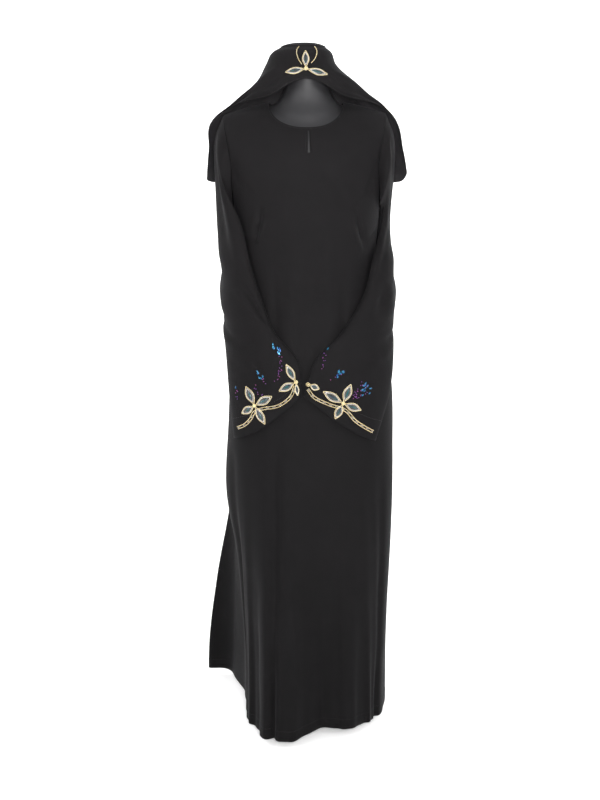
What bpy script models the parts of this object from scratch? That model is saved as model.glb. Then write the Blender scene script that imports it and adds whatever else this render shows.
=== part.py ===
"""A long black pull-on kaftan with its matching head veil, worn by a limbless dress form.

Metres, +Z up, the front looks along -Y and +X is the wearer's left. The origin is on the stand's flat
underside, under the middle of the shoulders. Every cloth piece is a thin wall: a grid of points worked out
from the tables below, and the same grid moved inwards by the cloth's thickness.
"""

import math
from collections import namedtuple

import bmesh
import bpy
import numpy as np
from mathutils import Vector
from mathutils.bvhtree import BVHTree

# Cloth
SEAM_GAP = 0.0003
ARMHOLE_GAP = 0.0007
KAFTAN_WALL = 0.0018
SLEEVE_WALL = 0.0014
VEIL_WALL = 0.0012

# Kaftan body: a ring for each row, as half-widths to the wearer's right (-X) and left (+X) and
# half-depths to the front and back
Ring = namedtuple("Ring", "name z right left front back")
KAFTAN_RINGS = (
    Ring("hem", 0.014, 0.152, 0.190, 0.128, 0.245),
    Ring("ankle", 0.150, 0.151, 0.191, 0.130, 0.225),
    Ring("calf", 0.320, 0.158, 0.197, 0.132, 0.198),
    Ring("knee", 0.500, 0.167, 0.203, 0.134, 0.172),
    Ring("thigh", 0.700, 0.179, 0.203, 0.137, 0.150),
    Ring("hip", 0.880, 0.174, 0.195, 0.134, 0.142),
    Ring("waist", 1.040, 0.156, 0.162, 0.116, 0.118),
    Ring("under bust", 1.150, 0.154, 0.156, 0.120, 0.110),
    Ring("bust", 1.235, 0.163, 0.163, 0.126, 0.112),
    Ring("armhole middle", 1.350, 0.190, 0.178, 0.112, 0.108),
)
SQUARENESS = 2.25
HEM_WAVE = 0.003

# Shoulders, armholes and neck opening
ARMPIT_HEIGHT = 1.240
ARMHOLE_MIDDLE = 1.350
BODY_HEIGHTS = (0.020, 0.085, 0.160, 0.250, 0.350, 0.460, 0.580, 0.700, 0.810, 0.910, 1.000, 1.080, 1.160)
ARMHOLE_HEIGHTS = (ARMPIT_HEIGHT, 1.2465, 1.262, 1.285, 1.315)
FRONT_UPPER_STEPS = 7
BACK_UPPER_STEPS = 6
ARMHOLE_HALF_DEPTH = 0.060
SHOULDER_PEAK = 1.492
SHOULDER_FALL = 1.00
SHOULDER_SPREAD = 0.12
NECK_HALF_WIDTH = 0.082
NECK_ROUNDNESS = 2.3
NECK_SHARE = 0.5
NECK_DROP_FRONT = 0.44
NECK_DROP_BACK = 0.12
SLIT_PLACE = 0.004
SLIT_HALF_WIDTH = 0.0017
SLIT_TOP = 1.4225
SLIT_BOTTOM = 1.376

# Folds of the skirt: where round the body (0 is the front, -90 the wearer's right side), how wide, how
# far out (+) or in (-) at the hem, the height where it dies out, how far it leans by then, how far its way
# out is turned towards the wearer's right, and how soon it fades
Fold = namedtuple("Fold", "name angle width depth top lean turn fade", defaults=(0, 2.2))
SKIRT_FOLDS = (
    Fold("front ridge", -22, 34, 0.050, 0.85, 2),
    Fold("front notch", 11, 16, -0.024, 0.70, -4),
    Fold("front left hollow", 56, 44, -0.018, 0.70, -6),
    Fold("left back ridge", 108, 20, 0.016, 0.72, 4),
    Fold("left back dip", 136, 17, -0.026, 0.66, 3),
    Fold("back ridge", 160, 24, 0.026, 0.78, 0),
    Fold("back dip", 184, 18, -0.026, 0.70, -3),
    Fold("right back ridge", 203, 12, 0.010, 0.60, -3),
    Fold("right back flare", 225, 17, 0.162, 0.76, 6, 4, 1.4),
    Fold("right back swell", 248, 38, 0.012, 0.98, 0, -8, 0.15),
    Fold("right back corner", 239, 13, 0.094, 0.70, 4, -37, 1.4),
    Fold("right side dip", 266, 16, -0.008, 0.70, 3),
)

# Sleeves below the cap: a flattened tube that lies on the body between a front edge and a back edge,
# each given by its angle round the body and its height, as thick as the air in it and with the sag of its
# middle below the line between its edges
Band = namedtuple("Band", "front_angle front_z back_angle back_z thickness sag", defaults=(0,))
RIGHT_SLEEVE_BANDS = (
    Band(-58, 1.225, -130, 1.210, 0.038),
    Band(-49, 1.140, -120, 1.110, 0.041),
    Band(-37, 1.065, -106, 1.030, 0.040),
    Band(-23, 0.985, -90, 0.950, 0.030),
    Band(-5, 0.920, -72, 0.850, 0.021, 0.010),
    Band(-3.0, 0.843, -62, 0.734, 0.014, 0.026),
)
LEFT_SLEEVE_BANDS = (
    Band(84, 1.225, 150, 1.210, 0.030),
    Band(60, 1.140, 128, 1.110, 0.038),
    Band(46, 1.065, 112, 1.030, 0.040),
    Band(23, 0.985, 82, 0.950, 0.028),
    Band(3.5, 0.920, 64, 0.846, 0.020, 0.008),
    Band(-1.6, 0.843, 46, 0.733, 0.014, 0.018),
)
CAP_OUT = 0.021
CAP_DROP = 0.034
CAP_HALF_HEIGHT = 0.074
CAP_HALF_DEPTH = 0.070
CAP_TILT = 15
SLEEVE_CLEARANCE = 0.0044
SLEEVE_STEPS = 3
EDGE_ROUNDNESS = 0.30

# Veil: rings as for the kaftan, and its lower edge all round, from the back hem over the hem's corner,
# up its front end, along the shoulder and up to the middle of the front
VEIL_RINGS = (
    Ring("hem", 1.290, 0.228, 0.232, 0.030, 0.158),
    Ring("back", 1.380, 0.222, 0.216, 0.030, 0.150),
    Ring("shoulder tip", 1.452, 0.206, 0.194, 0.020, 0.128),
    Ring("shoulder", 1.478, 0.170, 0.168, 0.030, 0.112),
    Ring("neck foot", 1.505, 0.137, 0.130, 0.066, 0.098),
    Ring("nape", 1.535, 0.109, 0.097, 0.078, 0.084),
    Ring("neck", 1.568, 0.091, 0.064, 0.070, 0.072),
    Ring("crown edge", 1.594, 0.075, 0.052, 0.056, 0.058),
    Ring("crown", 1.605, 0.058, 0.040, 0.042, 0.044),
)
VEIL_TOP = 1.6105
Edge = namedtuple("Edge", "share angle z")
VEIL_EDGE = (
    Edge(0.00, 180, 1.296),
    Edge(0.36, 104, 1.308),
    Edge(0.44, 84, 1.318),
    Edge(0.52, 82, 1.390),
    Edge(0.60, 84, 1.452),
    Edge(0.67, 72, 1.480),
    Edge(0.74, 42, 1.489),
    Edge(0.81, 31, 1.496),
    Edge(0.90, 18, 1.521),
    Edge(1.00, 0, 1.535),
)

# Dress form
FORM_CLEARANCE = 0.0007
FORM_NECK_EASE = 0.0058
FORM_EASE_REACH = 0.17
FORM_RINGS = (
    Ring("foot", 0.800, 0.140, 0.140, 0.098, 0.104),
    Ring("hip", 0.880, 0.150, 0.152, 0.108, 0.114),
    Ring("waist", 1.040, 0.120, 0.124, 0.086, 0.088),
    Ring("under bust", 1.150, 0.128, 0.132, 0.100, 0.092),
    Ring("bust", 1.235, 0.145, 0.149, 0.115, 0.101),
    Ring("armhole middle", 1.350, 0.152, 0.148, 0.097, 0.095),
)
Turn = namedtuple("Turn", "radius z")
NECK_PROFILE = (
    Turn(0.000, 1.380),
    Turn(0.060, 1.395),
    Turn(0.070, 1.425),
    Turn(0.064, 1.452),
    Turn(0.054, 1.478),
    Turn(0.049, 1.500),
    Turn(0.046, 1.530),
    Turn(0.045, 1.565),
    Turn(0.043, 1.584),
    Turn(0.037, 1.597),
    Turn(0.024, 1.6042),
    Turn(0.000, 1.6078),
)
NECK_SIDES = 28
NECK_PLACE = (0.0, -0.0055)
POLE_PLACE = (0.0, 0.04)
POLE_RADIUS = 0.0125
FLANGE_RADIUS = 0.045
FLANGE_THICKNESS = 0.006
BASE_RADIUS = 0.095
BASE_THICKNESS = 0.006
BASE_BEVEL = 0.002
COLLAR_RADIUS = 0.024
COLLAR_HEIGHT = 0.022
TURNED_SIDES = 40

# Beadwork: petals by their root and tip, stems by the points of their middle line, all as seen from the
# front (x, z), on the piece that carries them
Petal = namedtuple("Petal", "root_x root_z tip_x tip_z half_width")
RIGHT_CUFF_PETALS = (
    Petal(-0.117, 0.821, -0.137, 0.863, 0.0115),
    Petal(-0.117, 0.821, -0.078, 0.845, 0.0115),
    Petal(-0.117, 0.821, -0.094, 0.779, 0.0105),
    Petal(-0.117, 0.821, -0.147, 0.798, 0.0100),
    Petal(-0.0255, 0.877, -0.047, 0.917, 0.0095),
    Petal(-0.0255, 0.877, -0.063, 0.857, 0.0105),
)
LEFT_CUFF_PETALS = (
    Petal(0.080, 0.829, 0.035, 0.857, 0.0115),
    Petal(0.080, 0.829, 0.097, 0.872, 0.0115),
    Petal(0.080, 0.829, 0.121, 0.811, 0.0110),
    Petal(0.080, 0.829, 0.062, 0.794, 0.0105),
)
RIGHT_CUFF_STEM = (
    (-0.157, 0.762),
    (-0.139, 0.774),
    (-0.126, 0.790),
    (-0.118, 0.805),
    (-0.099, 0.815),
    (-0.065, 0.823),
    (-0.038, 0.843),
    (-0.027, 0.868),
)
LEFT_CUFF_STEM = (
    (0.002, 0.860),
    (0.017, 0.842),
    (0.049, 0.827),
    (0.085, 0.813),
    (0.107, 0.788),
    (0.130, 0.770),
    (0.149, 0.757),
)
VEIL_PETALS = (
    Petal(-0.003, 1.553, -0.004, 1.592, 0.0090),
    Petal(-0.003, 1.553, -0.044, 1.546, 0.0080),
    Petal(-0.003, 1.553, 0.038, 1.542, 0.0080),
)
PETAL_ROOT_GAP = 0.0036
HEART_RADIUS = 0.0062
HEART_LIFT = 0.0036
STEM_HALF_WIDTH = 0.0048
STEM_LIFT = 0.0022
PETAL_LIFT = 0.0018
PETAL_CROWN = 0.0028
APPLIQUE_GAP = 0.0006
APPLIQUE_STEP = 0.0003


def clear_scene():
    for obj in list(bpy.data.objects):
        bpy.data.objects.remove(obj, do_unlink=True)


def material(name, colour, roughness, metallic=0.0):
    """A Principled material, made once for each name."""
    made = bpy.data.materials.get(name) or bpy.data.materials.new(name)
    made.use_nodes = True
    shader = made.node_tree.nodes["Principled BSDF"]
    shader.inputs["Base Color"].default_value = (*colour, 1)
    shader.inputs["Roughness"].default_value = roughness
    shader.inputs["Metallic"].default_value = metallic
    made.diffuse_color = (*colour, 1)
    return made


def smooth_column(rows, column, at, level_end=True):
    """A table column read at any height, on a smooth curve through its rows, level at the last one."""
    heights = np.array([row.z for row in rows])
    values = np.array([getattr(row, column) for row in rows])
    slopes = np.gradient(values, heights)
    if level_end:
        slopes[-1] = 0
    at = np.clip(at, heights[0], heights[-1])
    below = np.clip(np.searchsorted(heights, at, side="right") - 1, 0, len(rows) - 2)
    step = heights[below + 1] - heights[below]
    t = (at - heights[below]) / step
    start = (1 + 2 * t) * (1 - t) ** 2 * values[below] + t * (1 - t) ** 2 * step * slopes[below]
    end = t**2 * (3 - 2 * t) * values[below + 1] + t**2 * (t - 1) * step * slopes[below + 1]
    return start + end


def fold_reach(folds, angle, z):
    """How far the folds move the cloth at an angle (degrees) and height: straight out, and sideways."""
    out, sideways = np.zeros(angle.shape), np.zeros(angle.shape)
    for fold in folds:
        rise = np.clip((z - KAFTAN_RINGS[0].z) / (fold.top - KAFTAN_RINGS[0].z), 0, 1)
        away = (angle - fold.angle - fold.lean * rise + 180) % 360 - 180
        bump = np.where(np.abs(away) < fold.width, 0.5 + 0.5 * np.cos(np.pi * away / fold.width), 0)
        reach = fold.depth * np.sin(np.pi / 2 * (1 - rise)) ** fold.fade * bump
        out = out + reach * math.cos(math.radians(fold.turn))
        sideways = sideways + reach * math.sin(math.radians(fold.turn))
    return out, sideways


def ring_point(rings, angle, z, folds=()):
    """Points of a body at angles (degrees, 0 at the front, -90 at the wearer's right) and heights."""
    angle, z = np.broadcast_arrays(np.asarray(angle, float), np.asarray(z, float))
    across, along = np.sin(np.radians(angle)), np.cos(np.radians(angle))
    width = np.where(across < 0, smooth_column(rings, "right", z), smooth_column(rings, "left", z))
    depth = np.where(along > 0, smooth_column(rings, "front", z), smooth_column(rings, "back", z))
    power = 2 / SQUARENESS
    x = width * np.sign(across) * np.abs(across) ** power
    y = -depth * np.sign(along) * np.abs(along) ** power
    out, sideways = fold_reach(folds, angle, z)
    away = np.hypot(x / width**2, y / depth**2)
    out_x, out_y = x / width**2 / away, y / depth**2 / away
    return np.stack([x + out * out_x - sideways * out_y, y + out * out_y + sideways * out_x, z], axis=-1)


def column_angle(share, reach):
    """The angle of a column from the panel's middle, where the panel reaches round to `reach` degrees: the
    outer columns draw in with the armhole and the middle ones stay."""
    return 90 * share - (90 - reach) * np.sign(share) * share**2


def armhole_angle(rings, z, back):
    """The angle from the middle of the front (or back) to the armhole's edge, 90 below the armpit."""
    drop = np.clip((ARMHOLE_MIDDLE - z) / (ARMHOLE_MIDDLE - ARMPIT_HEIGHT), 0, 1)
    reach = ARMHOLE_HALF_DEPTH * np.sqrt(1 - drop**2)
    depth = smooth_column(rings, "back" if back else "front", z)
    return np.degrees(np.arccos((reach / depth) ** (SQUARENESS / 2)))


def shoulder_height(x):
    return SHOULDER_PEAK - SHOULDER_FALL * np.asarray(x) ** 2


def shoulder_point(rings, angle, rise, lower=0.0):
    """Points above the armhole's middle. rise goes from 0 there to 90 degrees on the shoulder seam, and
    past it the surface runs on down the other side."""
    foot = ring_point(rings, angle, ARMHOLE_MIDDLE)
    beyond = ring_point(rings, 180 - np.asarray(angle), ARMHOLE_MIDDLE)
    up, out = np.sin(np.radians(rise)), np.cos(np.radians(rise))
    x = foot[..., 0] * (1 + SHOULDER_SPREAD * up)
    y = np.where(out >= 0, foot[..., 1] * out, -beyond[..., 1] * out)
    z = ARMHOLE_MIDDLE + (shoulder_height(x) - lower - ARMHOLE_MIDDLE) * up
    return np.stack(np.broadcast_arrays(x, y, z), axis=-1)


def unit(vectors):
    return vectors / np.linalg.norm(vectors, axis=-1, keepdims=True)


def ring_normal(rings, angle, z, folds=()):
    """Outward unit normals of a body below the armhole's middle."""
    turn, lift = 0.2, 0.001
    round_it = ring_point(rings, angle + turn, z, folds) - ring_point(rings, angle - turn, z, folds)
    up = ring_point(rings, angle, z + lift, folds) - ring_point(rings, angle, z - lift, folds)
    return unit(np.cross(round_it, up))


def shoulder_normal(rings, angle, rise):
    """Outward unit normals above the armhole's middle."""
    turn, lift = 0.2, 0.2
    round_it = shoulder_point(rings, angle + turn, rise) - shoulder_point(rings, angle - turn, rise)
    up = shoulder_point(rings, angle, rise + lift) - shoulder_point(rings, angle, rise - lift)
    return unit(np.cross(round_it, up))


def grid_faces(columns, rows, wraps=False, kept=None):
    """Quads of a grid whose point (column, row) has the number column * rows + row."""
    faces = []
    for i in range(columns if wraps else columns - 1):
        for j in range(rows - 1):
            if kept is None or kept(i, j):
                after = (i + 1) % columns
                faces.append((i * rows + j, after * rows + j, after * rows + j + 1, i * rows + j + 1))
    return faces


def face_out(shell):
    """Turns the faces of a closed shell outwards, which its volume tells."""
    bmesh.ops.recalc_face_normals(shell, faces=shell.faces)
    if shell.calc_volume(signed=True) < 0:
        bmesh.ops.reverse_faces(shell, faces=shell.faces)


def link_mesh(name, points, faces, finish):
    """A mesh object with its normals out."""
    mesh = bpy.data.meshes.new(name)
    mesh.from_pydata([tuple(point) for point in points], [], faces)
    shell = bmesh.new()
    shell.from_mesh(mesh)
    face_out(shell)
    shell.to_mesh(mesh)
    shell.free()
    mesh.shade_smooth()
    mesh.set_sharp_from_angle(angle=math.radians(50))
    mesh.materials.append(finish)
    obj = bpy.data.objects.new(name, mesh)
    bpy.context.scene.collection.objects.link(obj)
    return obj


def wall(name, outer, inner, faces, finish):
    """A closed wall between two copies of a sheet: outer, inner and a rim along every open edge. Both copies
    of a twisted face start at the same corner, so that they are cut along the same diagonal."""
    outer, inner = outer.reshape(-1, 3), inner.reshape(-1, 3)
    used = {}
    for face in faces:
        for a, b in zip(face, face[1:] + face[:1]):
            used[(a, b)] = True
    count = len(outer)
    rim = [(b, a, a + count, b + count) for a, b in used if (b, a) not in used]
    inside = [tuple(index + count for index in (face[0], *reversed(face[1:]))) for face in faces]
    return link_mesh(name, np.concatenate([outer, inner]), faces + inside + rim, finish)


def column_shares(neck_steps, shoulder_steps, slit):
    """Where the columns of a panel stand, as shares from its middle (0) to its edges (-1 and 1). A slit has
    a column on each of its edges."""
    half = list(np.linspace(0, NECK_SHARE, neck_steps + 1)[1:])
    half += list(np.linspace(NECK_SHARE, 1, shoulder_steps + 1)[1:])
    width = KAFTAN_RINGS[-1].left
    edges = (SLIT_PLACE - SLIT_HALF_WIDTH, SLIT_PLACE + SLIT_HALF_WIDTH)
    middle = [math.degrees((x / width) ** (SQUARENESS / 2)) / 90 for x in edges] if slit else [0.0]
    return np.array([-share for share in reversed(half)] + middle + half)


def column_tops(shares, back):
    """The angle and the rise where each column ends: round the neck opening, then along the shoulder."""
    width = (KAFTAN_RINGS[-1].right + KAFTAN_RINGS[-1].left) / 2
    power = SQUARENESS / 2
    corner = math.degrees(math.asin((NECK_HALF_WIDTH / (1 + SHOULDER_SPREAD) / width) ** power))
    armhole = float(armhole_angle(KAFTAN_RINGS, ARMHOLE_MIDDLE, back))
    share = np.abs(shares)
    across = np.sin(np.pi / 2 * np.minimum(share / NECK_SHARE, 1))
    round_neck = np.degrees(np.arcsin((across * NECK_HALF_WIDTH / (1 + SHOULDER_SPREAD) / width) ** power))
    along_shoulder = corner + (armhole - corner) * (share - NECK_SHARE) / (1 - NECK_SHARE)
    angle = np.where(share < NECK_SHARE, round_neck, along_shoulder) * np.sign(shares)
    drop = NECK_DROP_BACK if back else NECK_DROP_FRONT
    dip = (1 - across**NECK_ROUNDNESS) ** (1 / NECK_ROUNDNESS)
    return angle, np.degrees(np.arcsin(1 - drop * dip))


def armhole_turns():
    """Where round the armhole the panels' rows end, in degrees from the shoulder seam over the front. The
    sleeve's columns start there too, so that both edges are the same line."""
    drops = [(ARMHOLE_MIDDLE - z) / (ARMHOLE_MIDDLE - ARMPIT_HEIGHT) for z in ARMHOLE_HEIGHTS]
    low = [90 + math.degrees(math.asin(drop)) for drop in drops]
    front = [90 - 90 * share for share in upper_rows(FRONT_UPPER_STEPS, True)]
    back = [90 - 90 * share for share in upper_rows(BACK_UPPER_STEPS, False)]
    behind = [360 - turn for turn in (*low[1:], 90, *back[:-1])]
    return np.array([*front[::-1], 90, *low[::-1], *behind])


def upper_rows(steps, slit):
    """Shares of the way from the armhole's middle to a column's end, with a row at each end of a slit."""
    if not slit:
        return 1 - (1 - np.linspace(0, 1, steps + 1)[1:]) ** 1.8
    whole = math.degrees(math.asin(1 - NECK_DROP_FRONT))
    climbs = [(z - ARMHOLE_MIDDLE) / (SHOULDER_PEAK - ARMHOLE_MIDDLE) for z in (SLIT_BOTTOM, SLIT_TOP)]
    bottom, top = (math.degrees(math.asin(climb)) / whole for climb in climbs)
    return np.array([bottom, *np.linspace(bottom, top, steps)[1:], 1])


def kaftan_panel(name, back, finish, neck_steps, shoulder_steps, lower_heights, upper_steps):
    """The front or the back: columns from the hem to the neck opening or the shoulder seam."""
    slit = not back
    shares = column_shares(neck_steps, shoulder_steps, slit)
    heights = np.array(lower_heights)
    reach = armhole_angle(KAFTAN_RINGS, heights, back)
    angle = column_angle(shares[:, None], reach[None, :])
    if back:
        angle = 180 - angle
    z = np.broadcast_to(heights, angle.shape).copy()
    z[:, 0] += HEM_WAVE * np.sin(np.radians(3 * angle[:, 0] + 40))
    lower = ring_point(KAFTAN_RINGS, angle, z, SKIRT_FOLDS)
    lower_normal = ring_normal(KAFTAN_RINGS, angle, z, SKIRT_FOLDS)
    rows = upper_rows(upper_steps, slit)[None, :]
    top_angle, top_rise = column_tops(shares, back)
    if back:
        top_angle = 180 - top_angle
    rise = top_rise[:, None] * rows
    lean = angle[:, -1:] + (top_angle[:, None] - angle[:, -1:]) * rows
    upper = shoulder_point(KAFTAN_RINGS, lean, rise)
    upper_normal = shoulder_normal(KAFTAN_RINGS, lean, rise)
    outer = np.concatenate([lower, upper], axis=1)
    inner = outer - KAFTAN_WALL * np.concatenate([lower_normal, upper_normal], axis=1)
    apart = SEAM_GAP / 2 if back else -SEAM_GAP / 2
    shift = np.array([0, apart, 0])
    columns, count = outer.shape[:2]
    first, last = len(heights), len(heights) + upper_steps - 1

    def kept(i, j):
        return not (slit and i == columns // 2 - 1 and first <= j < last)

    return wall(name, outer + shift, inner + shift, grid_faces(columns, count, kept=kept), finish)


def armhole_ring(side, turns):
    """The armhole's edge and the body's normals there. turns (degrees) run from the shoulder seam over
    the front and the armpit to the back."""
    edge, normal = [], []
    for turn in turns:
        back = turn > 180
        from_top = 360 - turn if back else turn
        if from_top <= 90:
            angle = float(armhole_angle(KAFTAN_RINGS, ARMHOLE_MIDDLE, back)) * side
            angle = 180 - angle if back else angle
            edge.append(shoulder_point(KAFTAN_RINGS, angle, 90 - from_top))
            normal.append(shoulder_normal(KAFTAN_RINGS, angle, 90 - from_top))
        else:
            z = ARMHOLE_MIDDLE - (ARMHOLE_MIDDLE - ARMPIT_HEIGHT) * math.sin(math.radians(from_top - 90))
            angle = float(armhole_angle(KAFTAN_RINGS, z, back)) * side
            angle = 180 - angle if back else angle
            edge.append(ring_point(KAFTAN_RINGS, angle, z))
            normal.append(ring_normal(KAFTAN_RINGS, angle, z))
    return np.array(edge), np.array(normal)


def cap_ring(side, turns):
    """A tilted ring a little way down the sleeve, where its cap falls from the shoulder."""
    turn = np.radians(turns)
    tilt = math.radians(CAP_TILT)
    edge, _ = armhole_ring(side, [90, 270])
    middle = edge.mean(axis=0) + np.array([side * CAP_OUT, 0, -CAP_DROP])
    over = CAP_HALF_HEIGHT * np.cos(turn)
    along = [side * math.sin(tilt) * over, -CAP_HALF_DEPTH * np.sin(turn), math.cos(tilt) * over]
    return middle + np.stack(along, axis=-1)


def band_ring(band, turns):
    """A flattened ring lying on the body, from its front edge (turn 90) to its back edge (turn 270)."""
    turn = np.radians(turns)
    share = (1 - np.sin(turn)) / 2
    angle = band.front_angle + (band.back_angle - band.front_angle) * share
    z = band.front_z + (band.back_z - band.front_z) * share - 4 * band.sag * share * (1 - share)
    outer = EDGE_ROUNDNESS + (1 - EDGE_ROUNDNESS) * np.abs(np.cos(turn)) ** 0.8
    against = EDGE_ROUNDNESS * (1 - np.abs(np.cos(turn)) ** 0.8)
    lift = SLEEVE_CLEARANCE + band.thickness * np.where(np.cos(turn) > 0, outer, against)
    return ring_point(KAFTAN_RINGS, angle, z) + ring_normal(KAFTAN_RINGS, angle, z) * lift[:, None]


def kept_clear(points):
    """Points pushed out, level, until they clear the kaftan's body. Above the armpit they stay."""
    x, y, z = np.moveaxis(points, -1, 0)
    width = np.where(x < 0, smooth_column(KAFTAN_RINGS, "right", z), smooth_column(KAFTAN_RINGS, "left", z))
    depth = np.where(y < 0, smooth_column(KAFTAN_RINGS, "front", z), smooth_column(KAFTAN_RINGS, "back", z))
    size = (np.abs(x / width) ** SQUARENESS + np.abs(y / depth) ** SQUARENESS) ** (1 / SQUARENESS)
    wanted = 1 + SLEEVE_CLEARANCE / np.minimum(width, depth)
    factor = np.where(z < ARMPIT_HEIGHT + 0.02, np.maximum(1, wanted / size), 1)
    return np.stack([x * factor, y * factor, z], axis=-1)


def through_rings(rings, steps):
    """Rings added between rings, on a smooth curve through the matching points of all of them."""
    rings = np.array(rings)
    slopes = np.gradient(rings, axis=0)
    made = []
    for k in range(len(rings) - 1):
        for t in np.arange(steps) / steps:
            start = (1 + 2 * t) * (1 - t) ** 2 * rings[k] + t * (1 - t) ** 2 * slopes[k]
            end = t**2 * (3 - 2 * t) * rings[k + 1] + t**2 * (t - 1) * slopes[k + 1]
            made.append(start + end)
    made.append(rings[-1])
    return np.array(made)


def sleeve_grid(side, bands, steps):
    """The outer points of a sleeve, ring by ring from the armhole to the cuff, and its first normals. Under
    the armpit it laps over the body's edge."""
    turns = armhole_turns()
    edge, normal = armhole_ring(side, turns)
    drop = np.clip((ARMHOLE_MIDDLE - edge[:, 2]) / (ARMHOLE_MIDDLE - ARMPIT_HEIGHT), 0, 1)[:, None]
    start = edge + np.array([side * ARMHOLE_GAP, 0, 0]) + normal * (SLEEVE_WALL + SEAM_GAP) * drop
    rings = [start, cap_ring(side, turns)] + [band_ring(band, turns) for band in bands]
    grid = through_rings(rings, steps)
    grid[1:] = kept_clear(grid[1:])
    return grid, normal


def tube_normals(grid, side):
    """Outward normals of a tube given as rings of points."""
    along = np.gradient(grid, axis=0)
    round_it = np.roll(grid, -1, axis=1) - np.roll(grid, 1, axis=1)
    return unit(np.cross(round_it, along)) * side


def sleeve(name, side, bands, finish, steps):
    grid, first_normals = sleeve_grid(side, bands, steps)
    normals = tube_normals(grid, side)
    inner = grid - SLEEVE_WALL * normals
    inner[0] = grid[0] - SLEEVE_WALL * first_normals
    outer = grid.transpose(1, 0, 2)
    columns, rings = outer.shape[:2]
    return wall(name, outer, inner.transpose(1, 0, 2), grid_faces(columns, rings, wraps=True), finish)


def veil_edge(share):
    """The angle and height of the veil's edge, by its share of the way from the back to the front."""
    shares = [row.share for row in VEIL_EDGE]
    angle = np.interp(np.abs(share), shares, [row.angle for row in VEIL_EDGE])
    z = np.interp(np.abs(share), shares, [row.z for row in VEIL_EDGE])
    return angle * np.sign(share + 1e-9), z


def veil_grid(around, rows):
    """Columns from the veil's edge to its crown. A column turns from its place on the edge to an even
    spacing at the top."""
    share = np.linspace(-1, 1, around, endpoint=False)
    edge_angle, edge_z = veil_edge(share)
    top_angle = 180 * (1 - np.abs(share)) * np.sign(share + 1e-9)
    way = np.linspace(0, 1, rows)
    turned = way**0.8
    angle = edge_angle[:, None] + (top_angle - edge_angle)[:, None] * turned[None, :]
    z = edge_z[:, None] + (VEIL_RINGS[-1].z - edge_z)[:, None] * way[None, :]
    outer = ring_point(VEIL_RINGS, angle, z)
    up = ring_point(VEIL_RINGS, angle, z + 0.001) - ring_point(VEIL_RINGS, angle, z - 0.001)
    round_it = ring_point(VEIL_RINGS, angle + 0.5, z) - ring_point(VEIL_RINGS, angle - 0.5, z)
    return outer, unit(np.cross(round_it, up))


def veil(name, finish, around, rows):
    outer, normals = veil_grid(around, rows)
    inner = outer - VEIL_WALL * normals
    middle = outer[:, -1].mean(axis=0)
    faces = grid_faces(around, rows, wraps=True)
    pole = around * rows
    faces += [(i * rows + rows - 1, (i + 1) % around * rows + rows - 1, pole) for i in range(around)]
    outer_top = np.array([[middle[0], middle[1], VEIL_TOP]])
    inner_top = outer_top - np.array([[0, 0, VEIL_WALL]])
    outer = np.concatenate([outer.reshape(-1, 3), outer_top])
    inner = np.concatenate([inner.reshape(-1, 3), inner_top])
    return wall(name, outer, inner, faces, finish)


def form_torso(name, finish, around, lower_steps, upper_steps):
    """The closed torso: rings up to the armhole's middle, then columns that meet on the shoulder line."""
    angle = np.arange(around) * 360 / around
    heights = np.linspace(FORM_RINGS[0].z, ARMHOLE_MIDDLE, lower_steps + 1)
    lower = ring_point(FORM_RINGS, angle[:, None], heights[None, :])
    side = np.abs(ring_point(FORM_RINGS, angle, ARMHOLE_MIDDLE)[:, None, 0]) / FORM_EASE_REACH
    lowered = KAFTAN_WALL + FORM_CLEARANCE + FORM_NECK_EASE * (1 - side**2)
    rise = 90 * (1 - (1 - np.linspace(0, 1, upper_steps + 1)[1:]) ** 1.8)
    upper = shoulder_point(FORM_RINGS, angle[:, None], rise[None, :], lowered)
    points = np.concatenate([lower, upper], axis=1)
    rows = points.shape[1]
    faces = grid_faces(around, rows, wraps=True) + [tuple(i * rows for i in reversed(range(around)))]
    obj = link_mesh(name, points.reshape(-1, 3), faces, finish)
    shell = bmesh.new()
    shell.from_mesh(obj.data)
    bmesh.ops.remove_doubles(shell, verts=shell.verts, dist=0.00005)
    bmesh.ops.dissolve_degenerate(shell, edges=shell.edges, dist=0.00005)
    face_out(shell)
    shell.to_mesh(obj.data)
    shell.free()
    return obj


def turned(name, profile, sides, place, finish):
    """A turned solid: the profile's points, from its lower middle to its upper middle, swung round."""
    angle = np.radians(np.arange(sides) * 360 / sides)
    inside = [row for row in profile if row.radius > 0]
    points = [
        (place[0] + row.radius * math.cos(a), place[1] + row.radius * math.sin(a), row.z)
        for a in angle
        for row in inside
    ]
    rows = len(inside)
    faces = grid_faces(sides, rows, wraps=True)
    foot, head = len(points), len(points) + 1
    points += [(place[0], place[1], profile[0].z), (place[0], place[1], profile[-1].z)]
    for i in range(sides):
        after = (i + 1) % sides
        faces.append((i * rows, foot, after * rows))
        faces.append((i * rows + rows - 1, after * rows + rows - 1, head))
    return link_mesh(name, points, faces, finish)


def joined(target, others):
    """Unites helpers with the target by Boolean modifiers. The helpers stay out of the model."""
    for other in others:
        other.hide_render = True
        other.display_type = "WIRE"
        union = target.modifiers.new("join " + other.name, "BOOLEAN")
        union.operation = "UNION"
        union.object = other
    return target


def surface_of(obj):
    """A search tree of a mesh, made of the very triangles it is drawn with."""
    mesh = obj.data
    mesh.calc_loop_triangles()
    return BVHTree.FromPolygons([v.co for v in mesh.vertices], [t.vertices for t in mesh.loop_triangles])


def on_surface(tree, x, z, lift):
    """The points straight behind (x, z) on the front of a surface, moved out by lift."""
    found = np.empty((*x.shape, 3))
    for index in np.ndindex(x.shape):
        place, normal, _, _ = tree.ray_cast(Vector((x[index], -1, z[index])), Vector((0, 1, 0)))
        if place is None:
            raise ValueError(f"no cloth behind ({x[index]:.4f}, {z[index]:.4f})")
        outward = normal if normal.y < 0 else -normal
        found[index] = place + outward * lift[index]
    return found


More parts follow.
